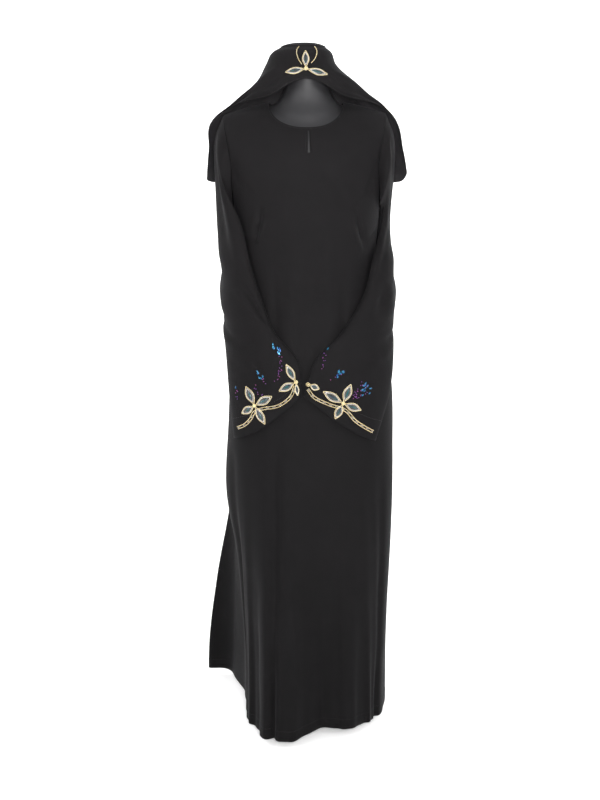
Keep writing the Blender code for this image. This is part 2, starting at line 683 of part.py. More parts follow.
def petal(name, row, tree, finish):
    """A pointed leaf, crowned along its middle, laid on a surface."""
    along = np.linspace(0, 1, 9)[:, None]
    side = np.linspace(-1, 1, 5)[None, :]
    root, tip = np.array([row.root_x, row.root_z]), np.array([row.tip_x, row.tip_z])
    way = (tip - root) / np.linalg.norm(tip - root)
    root = root + way * PETAL_ROOT_GAP
    half = row.half_width * (0.12 + 0.88 * np.sin(np.pi * np.clip(along, 0, 1)) ** 0.85)
    x = root[0] + (tip - root)[0] * along - way[1] * half * side
    z = root[1] + (tip - root)[1] * along + way[0] * half * side
    lift = PETAL_LIFT + PETAL_CROWN * (1 - side**2) * np.sin(np.pi * (0.1 + 0.8 * along))
    outer = on_surface(tree, x, z, lift)
    inner = on_surface(tree, x, z, np.full(x.shape, APPLIQUE_GAP))
    return wall(name, outer, inner, grid_faces(9, 5), finish)


def stem(name, places, tree, finish, steps=3):
    """A ribbon of even width along a smooth curve through its places."""
    middle = through_rings(np.array(places), steps)
    way = unit(np.gradient(middle, axis=0))
    side = np.linspace(-1, 1, 3)[None, :]
    x = middle[:, :1] - way[:, 1:] * STEM_HALF_WIDTH * side
    z = middle[:, 1:] + way[:, :1] * STEM_HALF_WIDTH * side
    lift = STEM_LIFT * (1 - 0.3 * side**2) * np.ones(x.shape)
    outer = on_surface(tree, x, z, lift)
    inner = on_surface(tree, x, z, np.full(x.shape, APPLIQUE_GAP + APPLIQUE_STEP))
    return wall(name, outer, inner, grid_faces(*x.shape), finish)


def heart(name, x, z, tree, finish):
    """The small round middle of a flower, which joins its petals."""
    turn = np.radians(np.arange(10) * 36)[:, None]
    radius = HEART_RADIUS * np.array([[1.0, 0.55]])
    across, up = x + radius * np.cos(turn), z + radius * np.sin(turn)
    middle_x, middle_z = np.array([[x]]), np.array([[z]])
    sheets = []
    foot = APPLIQUE_GAP + 2 * APPLIQUE_STEP
    for edge_lift, middle_lift in ((HEART_LIFT, HEART_LIFT + APPLIQUE_GAP), (foot, foot)):
        rim = on_surface(tree, across, up, np.full(across.shape, edge_lift))
        centre = on_surface(tree, middle_x, middle_z, np.full((1, 1), middle_lift))
        sheets.append(np.concatenate([rim.reshape(-1, 3), centre.reshape(-1, 3)]))
    faces = grid_faces(10, 2, wraps=True) + [(2 * i + 1, 2 * ((i + 1) % 10) + 1, 20) for i in range(10)]
    return wall(name, *sheets, faces, finish)


def beadwork(name, petals, places, tree, finish):
    """One applique: its stem, if it has one, its petals and the hearts that join them, united."""
    pieces = [petal(f"{name}_petal_{number}", row, tree, finish) for number, row in enumerate(petals, 1)]
    middles = sorted({(row.root_x, row.root_z) for row in petals})
    for number, middle in enumerate(middles, 1):
        pieces.append(heart(f"{name}_heart_{number}", *middle, tree, finish))
    if places:
        pieces.insert(0, stem(name + "_stem", places, tree, finish))
    first = pieces[0]
    first.name = name
    return joined(first, pieces[1:])


def stand(steel, dark):
    """The pole with its mounting flange, and the round base."""
    top = FORM_RINGS[0].z - SEAM_GAP
    foot = BASE_THICKNESS + COLLAR_HEIGHT + SEAM_GAP
    pole = (
        Turn(0, foot),
        Turn(POLE_RADIUS, foot),
        Turn(POLE_RADIUS, top - FLANGE_THICKNESS),
        Turn(FLANGE_RADIUS, top - FLANGE_THICKNESS),
        Turn(FLANGE_RADIUS, top),
        Turn(0, top),
    )
    turned("form_pole", pole, TURNED_SIDES, POLE_PLACE, steel)
    base = (
        Turn(0, 0),
        Turn(BASE_RADIUS, 0),
        Turn(BASE_RADIUS, BASE_THICKNESS - BASE_BEVEL),
        Turn(BASE_RADIUS - BASE_BEVEL, BASE_THICKNESS),
        Turn(COLLAR_RADIUS, BASE_THICKNESS),
        Turn(COLLAR_RADIUS, BASE_THICKNESS + COLLAR_HEIGHT),
        Turn(0, BASE_THICKNESS + COLLAR_HEIGHT),
    )
    turned("form_base", base, TURNED_SIDES, POLE_PLACE, dark)


def build():
    clear_scene()
    crepe = material("black crepe", (0.014, 0.013, 0.014), 0.82)
    shell = material("dark grey form", (0.075, 0.075, 0.077), 0.45)
    steel = material("satin steel", (0.45, 0.45, 0.46), 0.35, 1.0)
    dark = material("black enamel", (0.02, 0.02, 0.02), 0.4)
    gold = material("gold beadwork", (0.72, 0.60, 0.33), 0.3, 0.9)

    heights = (*BODY_HEIGHTS, *ARMHOLE_HEIGHTS, ARMHOLE_MIDDLE)
    kaftan_panel("kaftan_front", False, crepe, 6, 6, heights, FRONT_UPPER_STEPS)
    kaftan_panel("kaftan_back", True, crepe, 6, 7, heights, BACK_UPPER_STEPS)
    sleeves = (("sleeve_right", -1, RIGHT_SLEEVE_BANDS), ("sleeve_left", 1, LEFT_SLEEVE_BANDS))
    trees = []
    for name, side, bands in sleeves:
        trees.append(surface_of(sleeve(name, side, bands, crepe, SLEEVE_STEPS)))
    crown = surface_of(veil("veil", crepe, 36, 12))
    torso = form_torso("form_torso", shell, 28, 9, 7)
    joined(torso, [turned("form_neck", NECK_PROFILE, NECK_SIDES, NECK_PLACE, shell)])
    stand(steel, dark)
    beadwork("cuff_beadwork_right", RIGHT_CUFF_PETALS, RIGHT_CUFF_STEM, trees[0], gold)
    beadwork("cuff_beadwork_left", LEFT_CUFF_PETALS, LEFT_CUFF_STEM, trees[1], gold)
    beadwork("veil_beadwork", VEIL_PETALS, (), crown, gold)


build()
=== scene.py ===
"""Looks of a long black crepe kaftan with its matching head veil, worn by a limbless dress form.

Metres, +Z up, the front looks along -Y and +X is the wearer's left, as in the solids. Each cloth piece is a
thin shell on the form of its solid: a fine grid of points worked out from the tables below, moved along its
normals by creases that are placed one by one.
"""

import logging
import math
from dataclasses import dataclass, field
from enum import Enum
from typing import NamedTuple, Union

import bpy
import numpy as np
from bpy.types import Material, NodeSocket, Object
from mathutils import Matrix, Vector
from mathutils.bvhtree import BVHTree


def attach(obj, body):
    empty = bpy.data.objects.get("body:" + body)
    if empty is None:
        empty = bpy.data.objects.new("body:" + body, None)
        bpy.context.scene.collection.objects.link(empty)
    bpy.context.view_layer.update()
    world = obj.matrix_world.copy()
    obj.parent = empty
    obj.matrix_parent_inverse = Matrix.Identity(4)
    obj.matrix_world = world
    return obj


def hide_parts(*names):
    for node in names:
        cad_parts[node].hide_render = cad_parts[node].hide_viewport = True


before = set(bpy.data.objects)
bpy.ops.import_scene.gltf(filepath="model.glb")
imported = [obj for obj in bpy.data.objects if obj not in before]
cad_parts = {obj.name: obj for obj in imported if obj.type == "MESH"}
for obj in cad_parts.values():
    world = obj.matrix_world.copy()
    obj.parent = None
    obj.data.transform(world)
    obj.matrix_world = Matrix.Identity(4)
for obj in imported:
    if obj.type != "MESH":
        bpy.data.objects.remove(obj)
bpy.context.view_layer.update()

LOG = logging.getLogger("kaftan")
ROOT = "root"

# A colour or a point; a place as seen from the front (x, z); two arrays that go together, most often points
# and their normals
Vector3 = tuple[float, float, float]
Spot = tuple[float, float]
Pair = tuple[np.ndarray, np.ndarray]


class Ring(NamedTuple):
    """Half-widths to the wearer's right and left and half-depths to the front and back, at a height."""

    z: float
    right: float
    left: float
    front: float
    back: float


class Fold(NamedTuple):
    """A fold of the skirt, as in the solids."""

    angle: float
    width: float
    depth: float
    top: float
    lean: float
    turn: float = 0.0
    fade: float = 2.2


class Band(NamedTuple):
    """A ring of a sleeve, given by its front and back edges on the body, its thickness and its sag."""

    front_angle: float
    front_z: float
    back_angle: float
    back_z: float
    thickness: float
    sag: float = 0.0


class Crease(NamedTuple):
    """A crease along a path in a piece's own two coordinates: how far out, how wide, and whether it is at
    its full depth where it starts."""

    path: tuple[Spot, ...]
    depth: float
    width: float
    full_start: bool = False


KAFTAN_RINGS = (
    Ring(0.014, 0.152, 0.190, 0.128, 0.245),
    Ring(0.150, 0.151, 0.191, 0.130, 0.225),
    Ring(0.320, 0.158, 0.197, 0.132, 0.198),
    Ring(0.500, 0.167, 0.203, 0.134, 0.172),
    Ring(0.700, 0.179, 0.203, 0.137, 0.150),
    Ring(0.880, 0.174, 0.195, 0.134, 0.142),
    Ring(1.040, 0.156, 0.162, 0.116, 0.118),
    Ring(1.150, 0.154, 0.156, 0.120, 0.110),
    Ring(1.235, 0.163, 0.163, 0.126, 0.112),
    Ring(1.350, 0.190, 0.178, 0.112, 0.108),
)
SKIRT_FOLDS = (
    Fold(-22, 34, 0.050, 0.85, 2),
    Fold(11, 16, -0.024, 0.70, -4),
    Fold(56, 44, -0.018, 0.70, -6),
    Fold(108, 20, 0.016, 0.72, 4),
    Fold(136, 17, -0.026, 0.66, 3),
    Fold(160, 24, 0.026, 0.78, 0),
    Fold(184, 18, -0.026, 0.70, -3),
    Fold(203, 12, 0.010, 0.60, -3),
    Fold(225, 17, 0.162, 0.76, 6, 4, 1.4),
    Fold(248, 38, 0.012, 0.98, 0, -8, 0.15),
    Fold(239, 13, 0.094, 0.70, 4, -37, 1.4),
    Fold(266, 16, -0.008, 0.70, 3),
)
VEIL_RINGS = (
    Ring(1.290, 0.228, 0.232, 0.030, 0.158),
    Ring(1.380, 0.222, 0.216, 0.030, 0.150),
    Ring(1.452, 0.206, 0.194, 0.020, 0.128),
    Ring(1.478, 0.170, 0.168, 0.030, 0.112),
    Ring(1.505, 0.137, 0.130, 0.066, 0.098),
    Ring(1.535, 0.109, 0.097, 0.078, 0.084),
    Ring(1.568, 0.091, 0.064, 0.070, 0.072),
    Ring(1.594, 0.075, 0.052, 0.056, 0.058),
    Ring(1.605, 0.058, 0.040, 0.042, 0.044),
)
FORM_RINGS = (
    Ring(0.800, 0.140, 0.140, 0.098, 0.104),
    Ring(0.880, 0.150, 0.152, 0.108, 0.114),
    Ring(1.040, 0.120, 0.124, 0.086, 0.088),
    Ring(1.150, 0.128, 0.132, 0.100, 0.092),
    Ring(1.235, 0.145, 0.149, 0.115, 0.101),
    Ring(1.350, 0.152, 0.148, 0.097, 0.095),
)
SQUARENESS = 2.25
HEM_WAVE = 0.003
HEM_Z = 0.020
HEM_WAVE_TOP = 0.085
HEM_WAVES = 3
HEM_WAVE_START = 40
ARMPIT_HEIGHT = 1.240
ARMHOLE_MIDDLE = 1.350
ARMHOLE_HALF_DEPTH = 0.060
SHOULDER_PEAK = 1.492
SHOULDER_SPREAD = 0.12
NECK_HALF_WIDTH = 0.082
NECK_ROUNDNESS = 2.3
NECK_SHARE = 0.5
NECK_DROP_FRONT = 0.44
NECK_DROP_BACK = 0.12
SLIT_PLACE = 0.004
SLIT_TOP = 1.4225
SLIT_BOTTOM = 1.376
RIGHT_BANDS = (
    Band(-58, 1.225, -130, 1.210, 0.038),
    Band(-49, 1.140, -120, 1.110, 0.041),
    Band(-37, 1.065, -106, 1.030, 0.040),
    Band(-23, 0.985, -90, 0.950, 0.030),
    Band(-5, 0.920, -72, 0.850, 0.021, 0.010),
    Band(-3.0, 0.843, -62, 0.734, 0.014, 0.026),
)
LEFT_BANDS = (
    Band(84, 1.225, 150, 1.210, 0.030),
    Band(60, 1.140, 128, 1.110, 0.038),
    Band(46, 1.065, 112, 1.030, 0.040),
    Band(23, 0.985, 82, 0.950, 0.028),
    Band(3.5, 0.920, 64, 0.846, 0.020, 0.008),
    Band(-1.6, 0.843, 46, 0.733, 0.014, 0.018),
)
VEIL_EDGE = (
    (0.00, 180, 1.296),
    (0.36, 104, 1.308),
    (0.44, 84, 1.318),
    (0.52, 82, 1.390),
    (0.60, 84, 1.452),
    (0.67, 72, 1.480),
    (0.74, 42, 1.489),
    (0.81, 31, 1.496),
    (0.90, 18, 1.521),
    (1.00, 0, 1.535),
)
NECK_PROFILE = (
    (0.000, 1.380),
    (0.060, 1.395),
    (0.070, 1.425),
    (0.064, 1.452),
    (0.054, 1.478),
    (0.049, 1.500),
    (0.046, 1.530),
    (0.045, 1.565),
    (0.043, 1.584),
    (0.037, 1.597),
    (0.024, 1.6042),
    (0.000, 1.6078),
)
NECK_FORWARD = 0.0055
PETAL_START = 0.0036

# The fullness of the back where the train begins: its middle and half-span round the body and upwards
TRAIN_ANGLE, TRAIN_WIDTH = -97, 24
TRAIN_HEIGHT, TRAIN_SPAN = 0.575, 0.115
TRAIN_SWELL = 0.016

# Creases: steps between the points of a path, how many widths they reach, the share of their lip, and the
# waves (size, rate along the crease, shift from one crease to the next) that make them uneven
CREASE_STEPS = 5
CREASE_REACH = 3.2
CREASE_LIP = 0.35
CREASE_WAVES = ((0.22, 9.0, 1.7), (0.12, 21.0, 0.9))

# The cloth's unevenness: waves in two coordinates and their starts
SWELL_WAVES = ((23, 11, 0.4), (-17, 19, 1.9), (41, 7, 3.1), (9, 33, 5.2), (61, -23, 2.2))

# How far forward (y) a spot beside the cloth stands when it looks for the nearest cloth
BEFORE_CUFFS = -0.15

# Creases of the front and back panels: (angle round the body in degrees, height)
FRONT_CREASES = (
    Crease(((-34, 1.262), (-40, 1.224), (-47, 1.180)), -0.0052, 0.010),
    Crease(((-30, 1.236), (-36, 1.205), (-44, 1.165)), 0.0022, 0.009),
    Crease(((37, 1.258), (46, 1.207), (57, 1.158)), -0.0048, 0.010),
    Crease(((33, 1.230), (40, 1.195), (50, 1.150)), 0.0022, 0.009),
    Crease(((-23.5, -0.06), (-22.5, 0.25), (-21.5, 0.50), (-20, 0.80)), -0.0120, 0.014, True),
    Crease(((-9, -0.06), (-9.5, 0.25), (-12, 0.52), (-14.5, 0.82)), 0.0070, 0.016, True),
    Crease(((-82, -0.06), (-80, 0.25), (-76, 0.45), (-70, 0.70)), -0.0110, 0.017, True),
    Crease(((-60, -0.06), (-59, 0.22), (-56, 0.46), (-52, 0.66)), 0.0040, 0.018, True),
    Crease(((-42, -0.06), (-42, 0.20), (-40, 0.42)), -0.0035, 0.014, True),
    Crease(((22, -0.06), (20, 0.20), (16, 0.42), (12, 0.64)), -0.0040, 0.014, True),
    Crease(((34, -0.06), (33, 0.22), (30, 0.45)), 0.0034, 0.015, True),
    Crease(((58, -0.06), (52, 0.20), (42, 0.42), (34, 0.68)), 0.0042, 0.016, True),
    Crease(((73, -0.06), (70, 0.20), (60, 0.46), (52, 0.74)), -0.0050, 0.015, True),
    Crease(((-12, 1.22), (-10, 1.05), (-12, 0.84)), 0.0022, 0.018),
    Crease(((4, 1.18), (2, 1.00), (0, 0.80)), -0.0024, 0.016),
    Crease(((17, 1.20), (14, 1.03), (11, 0.82)), 0.0022, 0.018),
    Crease(((-27, 1.13), (-24, 1.02), (-22, 0.92)), -0.0024, 0.014),
    Crease(((30, 1.12), (26, 1.00), (24, 0.90)), -0.0020, 0.014),
    Crease(((-25, 1.075), (-6, 1.048), (14, 1.070)), -0.0012, 0.011),
    Crease(((-16, 1.105), (4, 1.088), (24, 1.115)), 0.0010, 0.012),
    Crease(((-4, 1.372), (-16, 1.320), (-27, 1.262)), -0.0013, 0.013),
    Crease(((8, 1.368), (18, 1.312), (29, 1.255)), -0.0013, 0.013),
    Crease(((1, 1.370), (2, 1.300), (1, 1.220)), 0.0012, 0.016),
    Crease(((-58, 1.340), (-50, 1.300), (-38, 1.285)), -0.0022, 0.010),
    Crease(((56, 1.345), (50, 1.300), (38, 1.280)), -0.0022, 0.010),
    Crease(((-80, 1.215), (-62, 1.190), (-46, 1.178)), -0.0020, 0.009),
    Crease(((80, 1.215), (62, 1.190), (48, 1.176)), -0.0020, 0.009),
)
BACK_CREASES = (
    Crease(((112, -0.06), (111, 0.20), (108, 0.45), (106, 0.66)), -0.0045, 0.015, True),
    Crease(((124, -0.06), (124, 0.22), (122, 0.50)), 0.0042, 0.016, True),
    Crease(((148, -0.06), (147, 0.24), (146, 0.48), (148, 0.74)), 0.0045, 0.015, True),
    Crease(((160, -0.06), (161, 0.22), (160, 0.46)), -0.0038, 0.013, True),
    Crease(((172, -0.06), (172, 0.22), (171, 0.52), (170, 0.80)), 0.0045, 0.016, True),
    Crease(((190, -0.06), (190, 0.24), (188, 0.52), (184, 0.76)), -0.0045, 0.014, True),
    Crease(((214, -0.06), (214, 0.22), (213, 0.50)), -0.0034, 0.013, True),
    Crease(((168, 1.24), (171, 1.06), (170, 0.86)), 0.0026, 0.017),
    Crease(((184, 1.22), (185, 1.04), (184, 0.84)), -0.0026, 0.016),
    Crease(((198, 1.22), (196, 1.05), (198, 0.86)), 0.0024, 0.017),
    Crease(((150, 1.12), (156, 1.02), (158, 0.90)), -0.0024, 0.014),
    Crease(((212, 1.12), (207, 1.02), (206, 0.90)), -0.0024, 0.014),
    Crease(((158, 1.075), (176, 1.050), (200, 1.072)), -0.0014, 0.011),
    Crease(((164, 1.105), (182, 1.092), (204, 1.112)), 0.0012, 0.012),
    Crease(((132, 1.215), (146, 1.190), (158, 1.182)), -0.0026, 0.010),
    Crease(((228, 1.215), (214, 1.188), (202, 1.180)), -0.0026, 0.010),
    Crease(((136, 1.250), (150, 1.236), (164, 1.240)), -0.0018, 0.010),
    Crease(((226, 1.252), (212, 1.238), (198, 1.242)), -0.0018, 0.010),
)

# Creases of the sleeves: (turn round the sleeve in degrees, 0 on top and 90 at its front edge; the ring
# it is at, 0 at the armhole and 7 at the cuff)
RIGHT_CREASES = (
    Crease(((46, 3.55), (62, 4.10), (70, 4.75)), -0.0042, 0.0065),
    Crease(((34, 3.70), (50, 4.30), (60, 4.95)), 0.0026, 0.0075),
    Crease(((20, 0.60), (32, 1.40), (36, 2.30), (44, 3.20)), -0.0036, 0.010),
    Crease(((52, 1.10), (60, 1.90), (64, 2.70)), 0.0026, 0.010),
    Crease(((-8, 0.45), (2, 1.30), (8, 2.30), (18, 3.30)), 0.0028, 0.012),
    Crease(((-30, 0.90), (-20, 1.80), (-12, 2.80), (2, 3.70)), -0.0032, 0.011),
    Crease(((-64, 1.60), (-44, 2.50), (-26, 3.50), (-6, 4.40)), 0.0026, 0.012),
    Crease(((-70, 2.80), (-48, 3.60), (-30, 4.30), (0, 4.90)), -0.0034, 0.009),
    Crease(((-62, 4.00), (-36, 4.60), (-6, 5.05), (26, 5.30)), -0.0028, 0.008),
    Crease(((-50, 4.40), (-24, 5.00), (8, 5.40)), 0.0020, 0.009),
    Crease(((-30, 5.50), (-4, 5.75), (30, 5.85)), -0.0016, 0.008),
)
LEFT_CREASES = (
    Crease(((40, 0.55), (48, 1.40), (50, 2.20)), -0.0034, 0.010),
    Crease(((-52, 2.60), (-50, 3.20), (-54, 4.20), (-60, 4.80)), 0.0038, 0.0075),
    Crease(((-38, 2.50), (-34, 3.30), (-38, 4.20)), -0.0038, 0.009),
    Crease(((12, 0.60), (18, 1.50), (20, 2.50), (28, 3.40)), 0.0028, 0.012),
    Crease(((-14, 0.80), (-10, 1.80), (-4, 2.80), (8, 3.80)), -0.0034, 0.010),
    Crease(((60, 2.10), (56, 3.00), (60, 3.90)), -0.0030, 0.009),
    Crease(((44, 3.60), (30, 4.30), (6, 4.75)), -0.0036, 0.0075),
    Crease(((30, 3.60), (14, 4.10), (-10, 4.50)), 0.0026, 0.008),
    Crease(((-60, 4.60), (-30, 5.00), (4, 5.20)), -0.0030, 0.008),
    Crease(((-40, 5.20), (-10, 5.50), (24, 5.65)), 0.0018, 0.009),
    Crease(((-70, 1.20), (-60, 2.00), (-64, 2.80)), 0.0026, 0.011),
)

# Creases of the veil: (share of its edge times 180, height)
VEIL_CREASES = (
    Crease(((-150, 1.545), (-128, 1.512), (-104, 1.470)), -0.0034, 0.010),
    Crease(((-140, 1.560), (-112, 1.520), (-88, 1.440)), 0.0030, 0.011),
    Crease(((150, 1.540), (128, 1.508), (104, 1.465)), -0.0034, 0.010),
    Crease(((140, 1.555), (112, 1.515), (88, 1.435)), 0.0030, 0.011),
    Crease(((-100, 1.555), (-78, 1.480), (-62, 1.390)), -0.0036, 0.012),
    Crease(((-60, 1.570), (-50, 1.480), (-42, 1.330)), 0.0040, 0.014),
    Crease(((-34, 1.570), (-30, 1.480), (-26, 1.310)), -0.0040, 0.013),
    Crease(((-12, 1.575), (-10, 1.470), (-8, 1.300)), 0.0040, 0.014),
    Crease(((10, 1.570), (8, 1.480), (8, 1.310)), -0.0036, 0.013),
    Crease(((30, 1.572), (28, 1.470), (26, 1.300)), 0.0040, 0.014),
    Crease(((54, 1.570), (48, 1.480), (44, 1.330)), -0.0040, 0.013),
    Crease(((100, 1.550), (78, 1.480), (64, 1.400)), 0.0034, 0.012),
)


def hermite(t: np.ndarray, ends: Pair, slopes: Pair, step: Union[float, np.ndarray] = 1.0) -> np.ndarray:
    """A cubic Hermite curve at shares t of a step, from the values and the slopes at the step's two ends."""
    start = (1 + 2 * t) * (1 - t) ** 2 * ends[0] + t * (1 - t) ** 2 * step * slopes[0]
    end = t**2 * (3 - 2 * t) * ends[1] + t**2 * (t - 1) * step * slopes[1]
    return start + end


def smooth_column(rings: tuple[Ring, ...], column: str, at: np.ndarray) -> np.ndarray:
    """A column of a ring table read at any height, on a cubic Hermite curve through its rows.

    Args:
        rings: the table.
        column: the column's name.
        at: heights.

    Returns:
        The values at those heights.
    """
    heights = np.array([row.z for row in rings])
    values = np.array([getattr(row, column) for row in rings])
    slopes = np.gradient(values, heights)
    slopes[-1] = 0
    at = np.clip(at, heights[0], heights[-1])
    below = np.clip(np.searchsorted(heights, at, side="right") - 1, 0, len(rings) - 2)
    step = heights[below + 1] - heights[below]
    t = (at - heights[below]) / step
    return hermite(t, (values[below], values[below + 1]), (slopes[below], slopes[below + 1]), step)


def shoulder_shares(count: int) -> np.ndarray:
    """Shares of the way up to the shoulder seam, closer to each other towards it."""
    return 1 - (1 - np.linspace(0, 1, count + 1)[1:]) ** 1.8


def unit(vectors: np.ndarray) -> np.ndarray:
    """The vectors divided by their lengths."""
    return vectors / np.maximum(np.linalg.norm(vectors, axis=-1, keepdims=True), 1e-12)


def eased(value: np.ndarray, low: float, high: float) -> np.ndarray:
    """0 up to low, 1 from high on, and a smooth 3t^2 - 2t^3 between them."""
    t = np.clip((value - low) / (high - low), 0, 1)
    return t * t * (3 - 2 * t)


def turned_by(angle: np.ndarray, middle: np.ndarray) -> np.ndarray:
    """Angles counted from another one, from -180 to 180 degrees."""
    return (angle - middle + 180) % 360 - 180


@dataclass(frozen=True)
class Body:
    """A body of rounded rings, with folds that move its surface out and sideways."""

    rings: tuple[Ring, ...]
    folds: tuple[Fold, ...] = ()

    def half_sizes(self, x: np.ndarray, y: np.ndarray, z: np.ndarray) -> Pair:
        """The half-width and half-depth of the rings on the side where each point is."""
        right, left = smooth_column(self.rings, "right", z), smooth_column(self.rings, "left", z)
        front, back = smooth_column(self.rings, "front", z), smooth_column(self.rings, "back", z)
        return np.where(x < 0, right, left), np.where(y < 0, front, back)

    def point(self, angle: np.ndarray, z: np.ndarray) -> np.ndarray:
        """Points at angles (0 is the front) and heights: x = width sin^p, y = -depth cos^p with
        p = 2 / squareness, moved by each fold's raised cosine.

        Args:
            angle: degrees round the body.
            z: heights.

        Returns:
            The points, with a last axis of 3.
        """
        angle, z = np.broadcast_arrays(np.asarray(angle, float), np.asarray(z, float))
        across, along = np.sin(np.radians(angle)), np.cos(np.radians(angle))
        width, depth = self.half_sizes(across, -along, z)
        power = 2 / SQUARENESS
        x = width * np.sign(across) * np.abs(across) ** power
        y = -depth * np.sign(along) * np.abs(along) ** power
        out, sideways = self.fold_reach(angle, z)
        away = np.hypot(x / width**2, y / depth**2)
        out_x, out_y = x / width**2 / away, y / depth**2 / away
        return np.stack([x + out * out_x - sideways * out_y, y + out * out_y + sideways * out_x, z], axis=-1)

    def fold_reach(self, angle: np.ndarray, z: np.ndarray) -> Pair:
        """How far the folds move the cloth, straight out and sideways."""
        out, sideways = np.zeros(angle.shape), np.zeros(angle.shape)
        foot = KAFTAN_RINGS[0].z
        for fold in self.folds:
            rise = np.clip((z - foot) / (fold.top - foot), 0, 1)
            away = turned_by(angle - fold.angle, fold.lean * rise)
            bump = np.where(np.abs(away) < fold.width, 0.5 + 0.5 * np.cos(np.pi * away / fold.width), 0)
            reach = fold.depth * np.sin(np.pi / 2 * (1 - rise)) ** fold.fade * bump
            out = out + reach * math.cos(math.radians(fold.turn))
            sideways = sideways + reach * math.sin(math.radians(fold.turn))
        return out, sideways

    def normal(self, angle: np.ndarray, z: np.ndarray) -> np.ndarray:
        """Outward normals: the step round the body crossed with the step up."""
        turn, lift = 0.4, 0.002
        round_it = self.point(angle + turn, z) - self.point(angle - turn, z)
        return unit(np.cross(round_it, self.point(angle, z + lift) - self.point(angle, z - lift)))

    def shoulder_point(self, angle: np.ndarray, rise: np.ndarray, lower: np.ndarray = 0.0) -> np.ndarray:
        """Points above the armhole's middle: rise runs from 0 there to 90 degrees on the shoulder seam.

        Args:
            angle: degrees round the body.
            rise: degrees up the shoulder.
            lower: how much lower than the cloth the surface lies on the seam.

        Returns:
            The points, with a last axis of 3.
        """
        foot = self.point(angle, ARMHOLE_MIDDLE)
        beyond = self.point(180 - np.asarray(angle), ARMHOLE_MIDDLE)
        up, out = np.sin(np.radians(rise)), np.cos(np.radians(rise))
        x = foot[..., 0] * (1 + SHOULDER_SPREAD * up)
        y = np.where(out >= 0, foot[..., 1] * out, -beyond[..., 1] * out)
        z = ARMHOLE_MIDDLE + (SHOULDER_PEAK - x**2 - lower - ARMHOLE_MIDDLE) * up
        return np.stack(np.broadcast_arrays(x, y, z), axis=-1)

    def shoulder_normal(self, angle: np.ndarray, rise: np.ndarray) -> np.ndarray:
        """Outward normals above the armhole's middle."""
        turn = lift = 0.4
        round_it = self.shoulder_point(angle + turn, rise) - self.shoulder_point(angle - turn, rise)
        up = self.shoulder_point(angle, rise + lift) - self.shoulder_point(angle, rise - lift)
        return unit(np.cross(round_it, up))

    def armhole_angle(self, z: np.ndarray, back: Union[bool, np.ndarray]) -> np.ndarray:
        """The angle from the middle of the front or back to the armhole's edge, 90 below the armpit."""
        z = np.asarray(z, float)
        drop = np.clip((ARMHOLE_MIDDLE - z) / (ARMHOLE_MIDDLE - ARMPIT_HEIGHT), 0, 1)
        reach = ARMHOLE_HALF_DEPTH * np.sqrt(1 - drop**2)
        depth = np.where(back, smooth_column(self.rings, "back", z), smooth_column(self.rings, "front", z))
        return np.degrees(np.arccos((reach / depth) ** (SQUARENESS / 2)))


KAFTAN_BODY = Body(KAFTAN_RINGS, SKIRT_FOLDS)
BARE_BODY = Body(KAFTAN_RINGS)


def through_rings(rings: np.ndarray, steps: int) -> np.ndarray:
    """Rings or points added between those given, on a cubic Hermite curve through all of them."""
    rings = np.asarray(rings, float)
    slopes = np.gradient(rings, axis=0)
    t = (np.arange(steps) / steps).reshape(1, -1, *[1] * (rings.ndim - 1))
    curve = hermite(t, (rings[:-1, None], rings[1:, None]), (slopes[:-1, None], slopes[1:, None]))
    return np.concatenate([curve.reshape(-1, *rings.shape[1:]), rings[-1:]])


def travelled(path: np.ndarray) -> np.ndarray:
    """The length of the way along a path to each of its points."""
    return np.concatenate([[0], np.cumsum(np.linalg.norm(np.diff(path, axis=0), axis=1))])


def read_along(gone: np.ndarray, values: np.ndarray, at: np.ndarray) -> np.ndarray:
    """Values at the points of a path, read at any lengths along it.

    Args:
        gone: the length of the way to each point.
        values: rows of values, one row for each point.
        at: lengths.

    Returns:
        Rows of values, one row for each length.
    """
    return np.stack([np.interp(at, gone, column) for column in values.T], axis=-1)


def nearest_on_path(x: np.ndarray, y: np.ndarray, path: np.ndarray) -> Pair:
    """The distance of points from a path, and the share of the way along it where each is nearest."""
    closest, along = np.full(x.shape, np.inf), np.zeros(x.shape)
    gone, steps = travelled(path), np.diff(path, axis=0)
    for start, step, length, before in zip(path, steps, np.linalg.norm(steps, axis=1), gone):
        t = np.clip(((x - start[0]) * step[0] + (y - start[1]) * step[1]) / length**2, 0, 1)
        away = np.hypot(x - start[0] - t * step[0], y - start[1] - t * step[1])
        along = np.where(away < closest, (before + t * length) / gone[-1], along)
        closest = np.minimum(closest, away)
    return closest, along


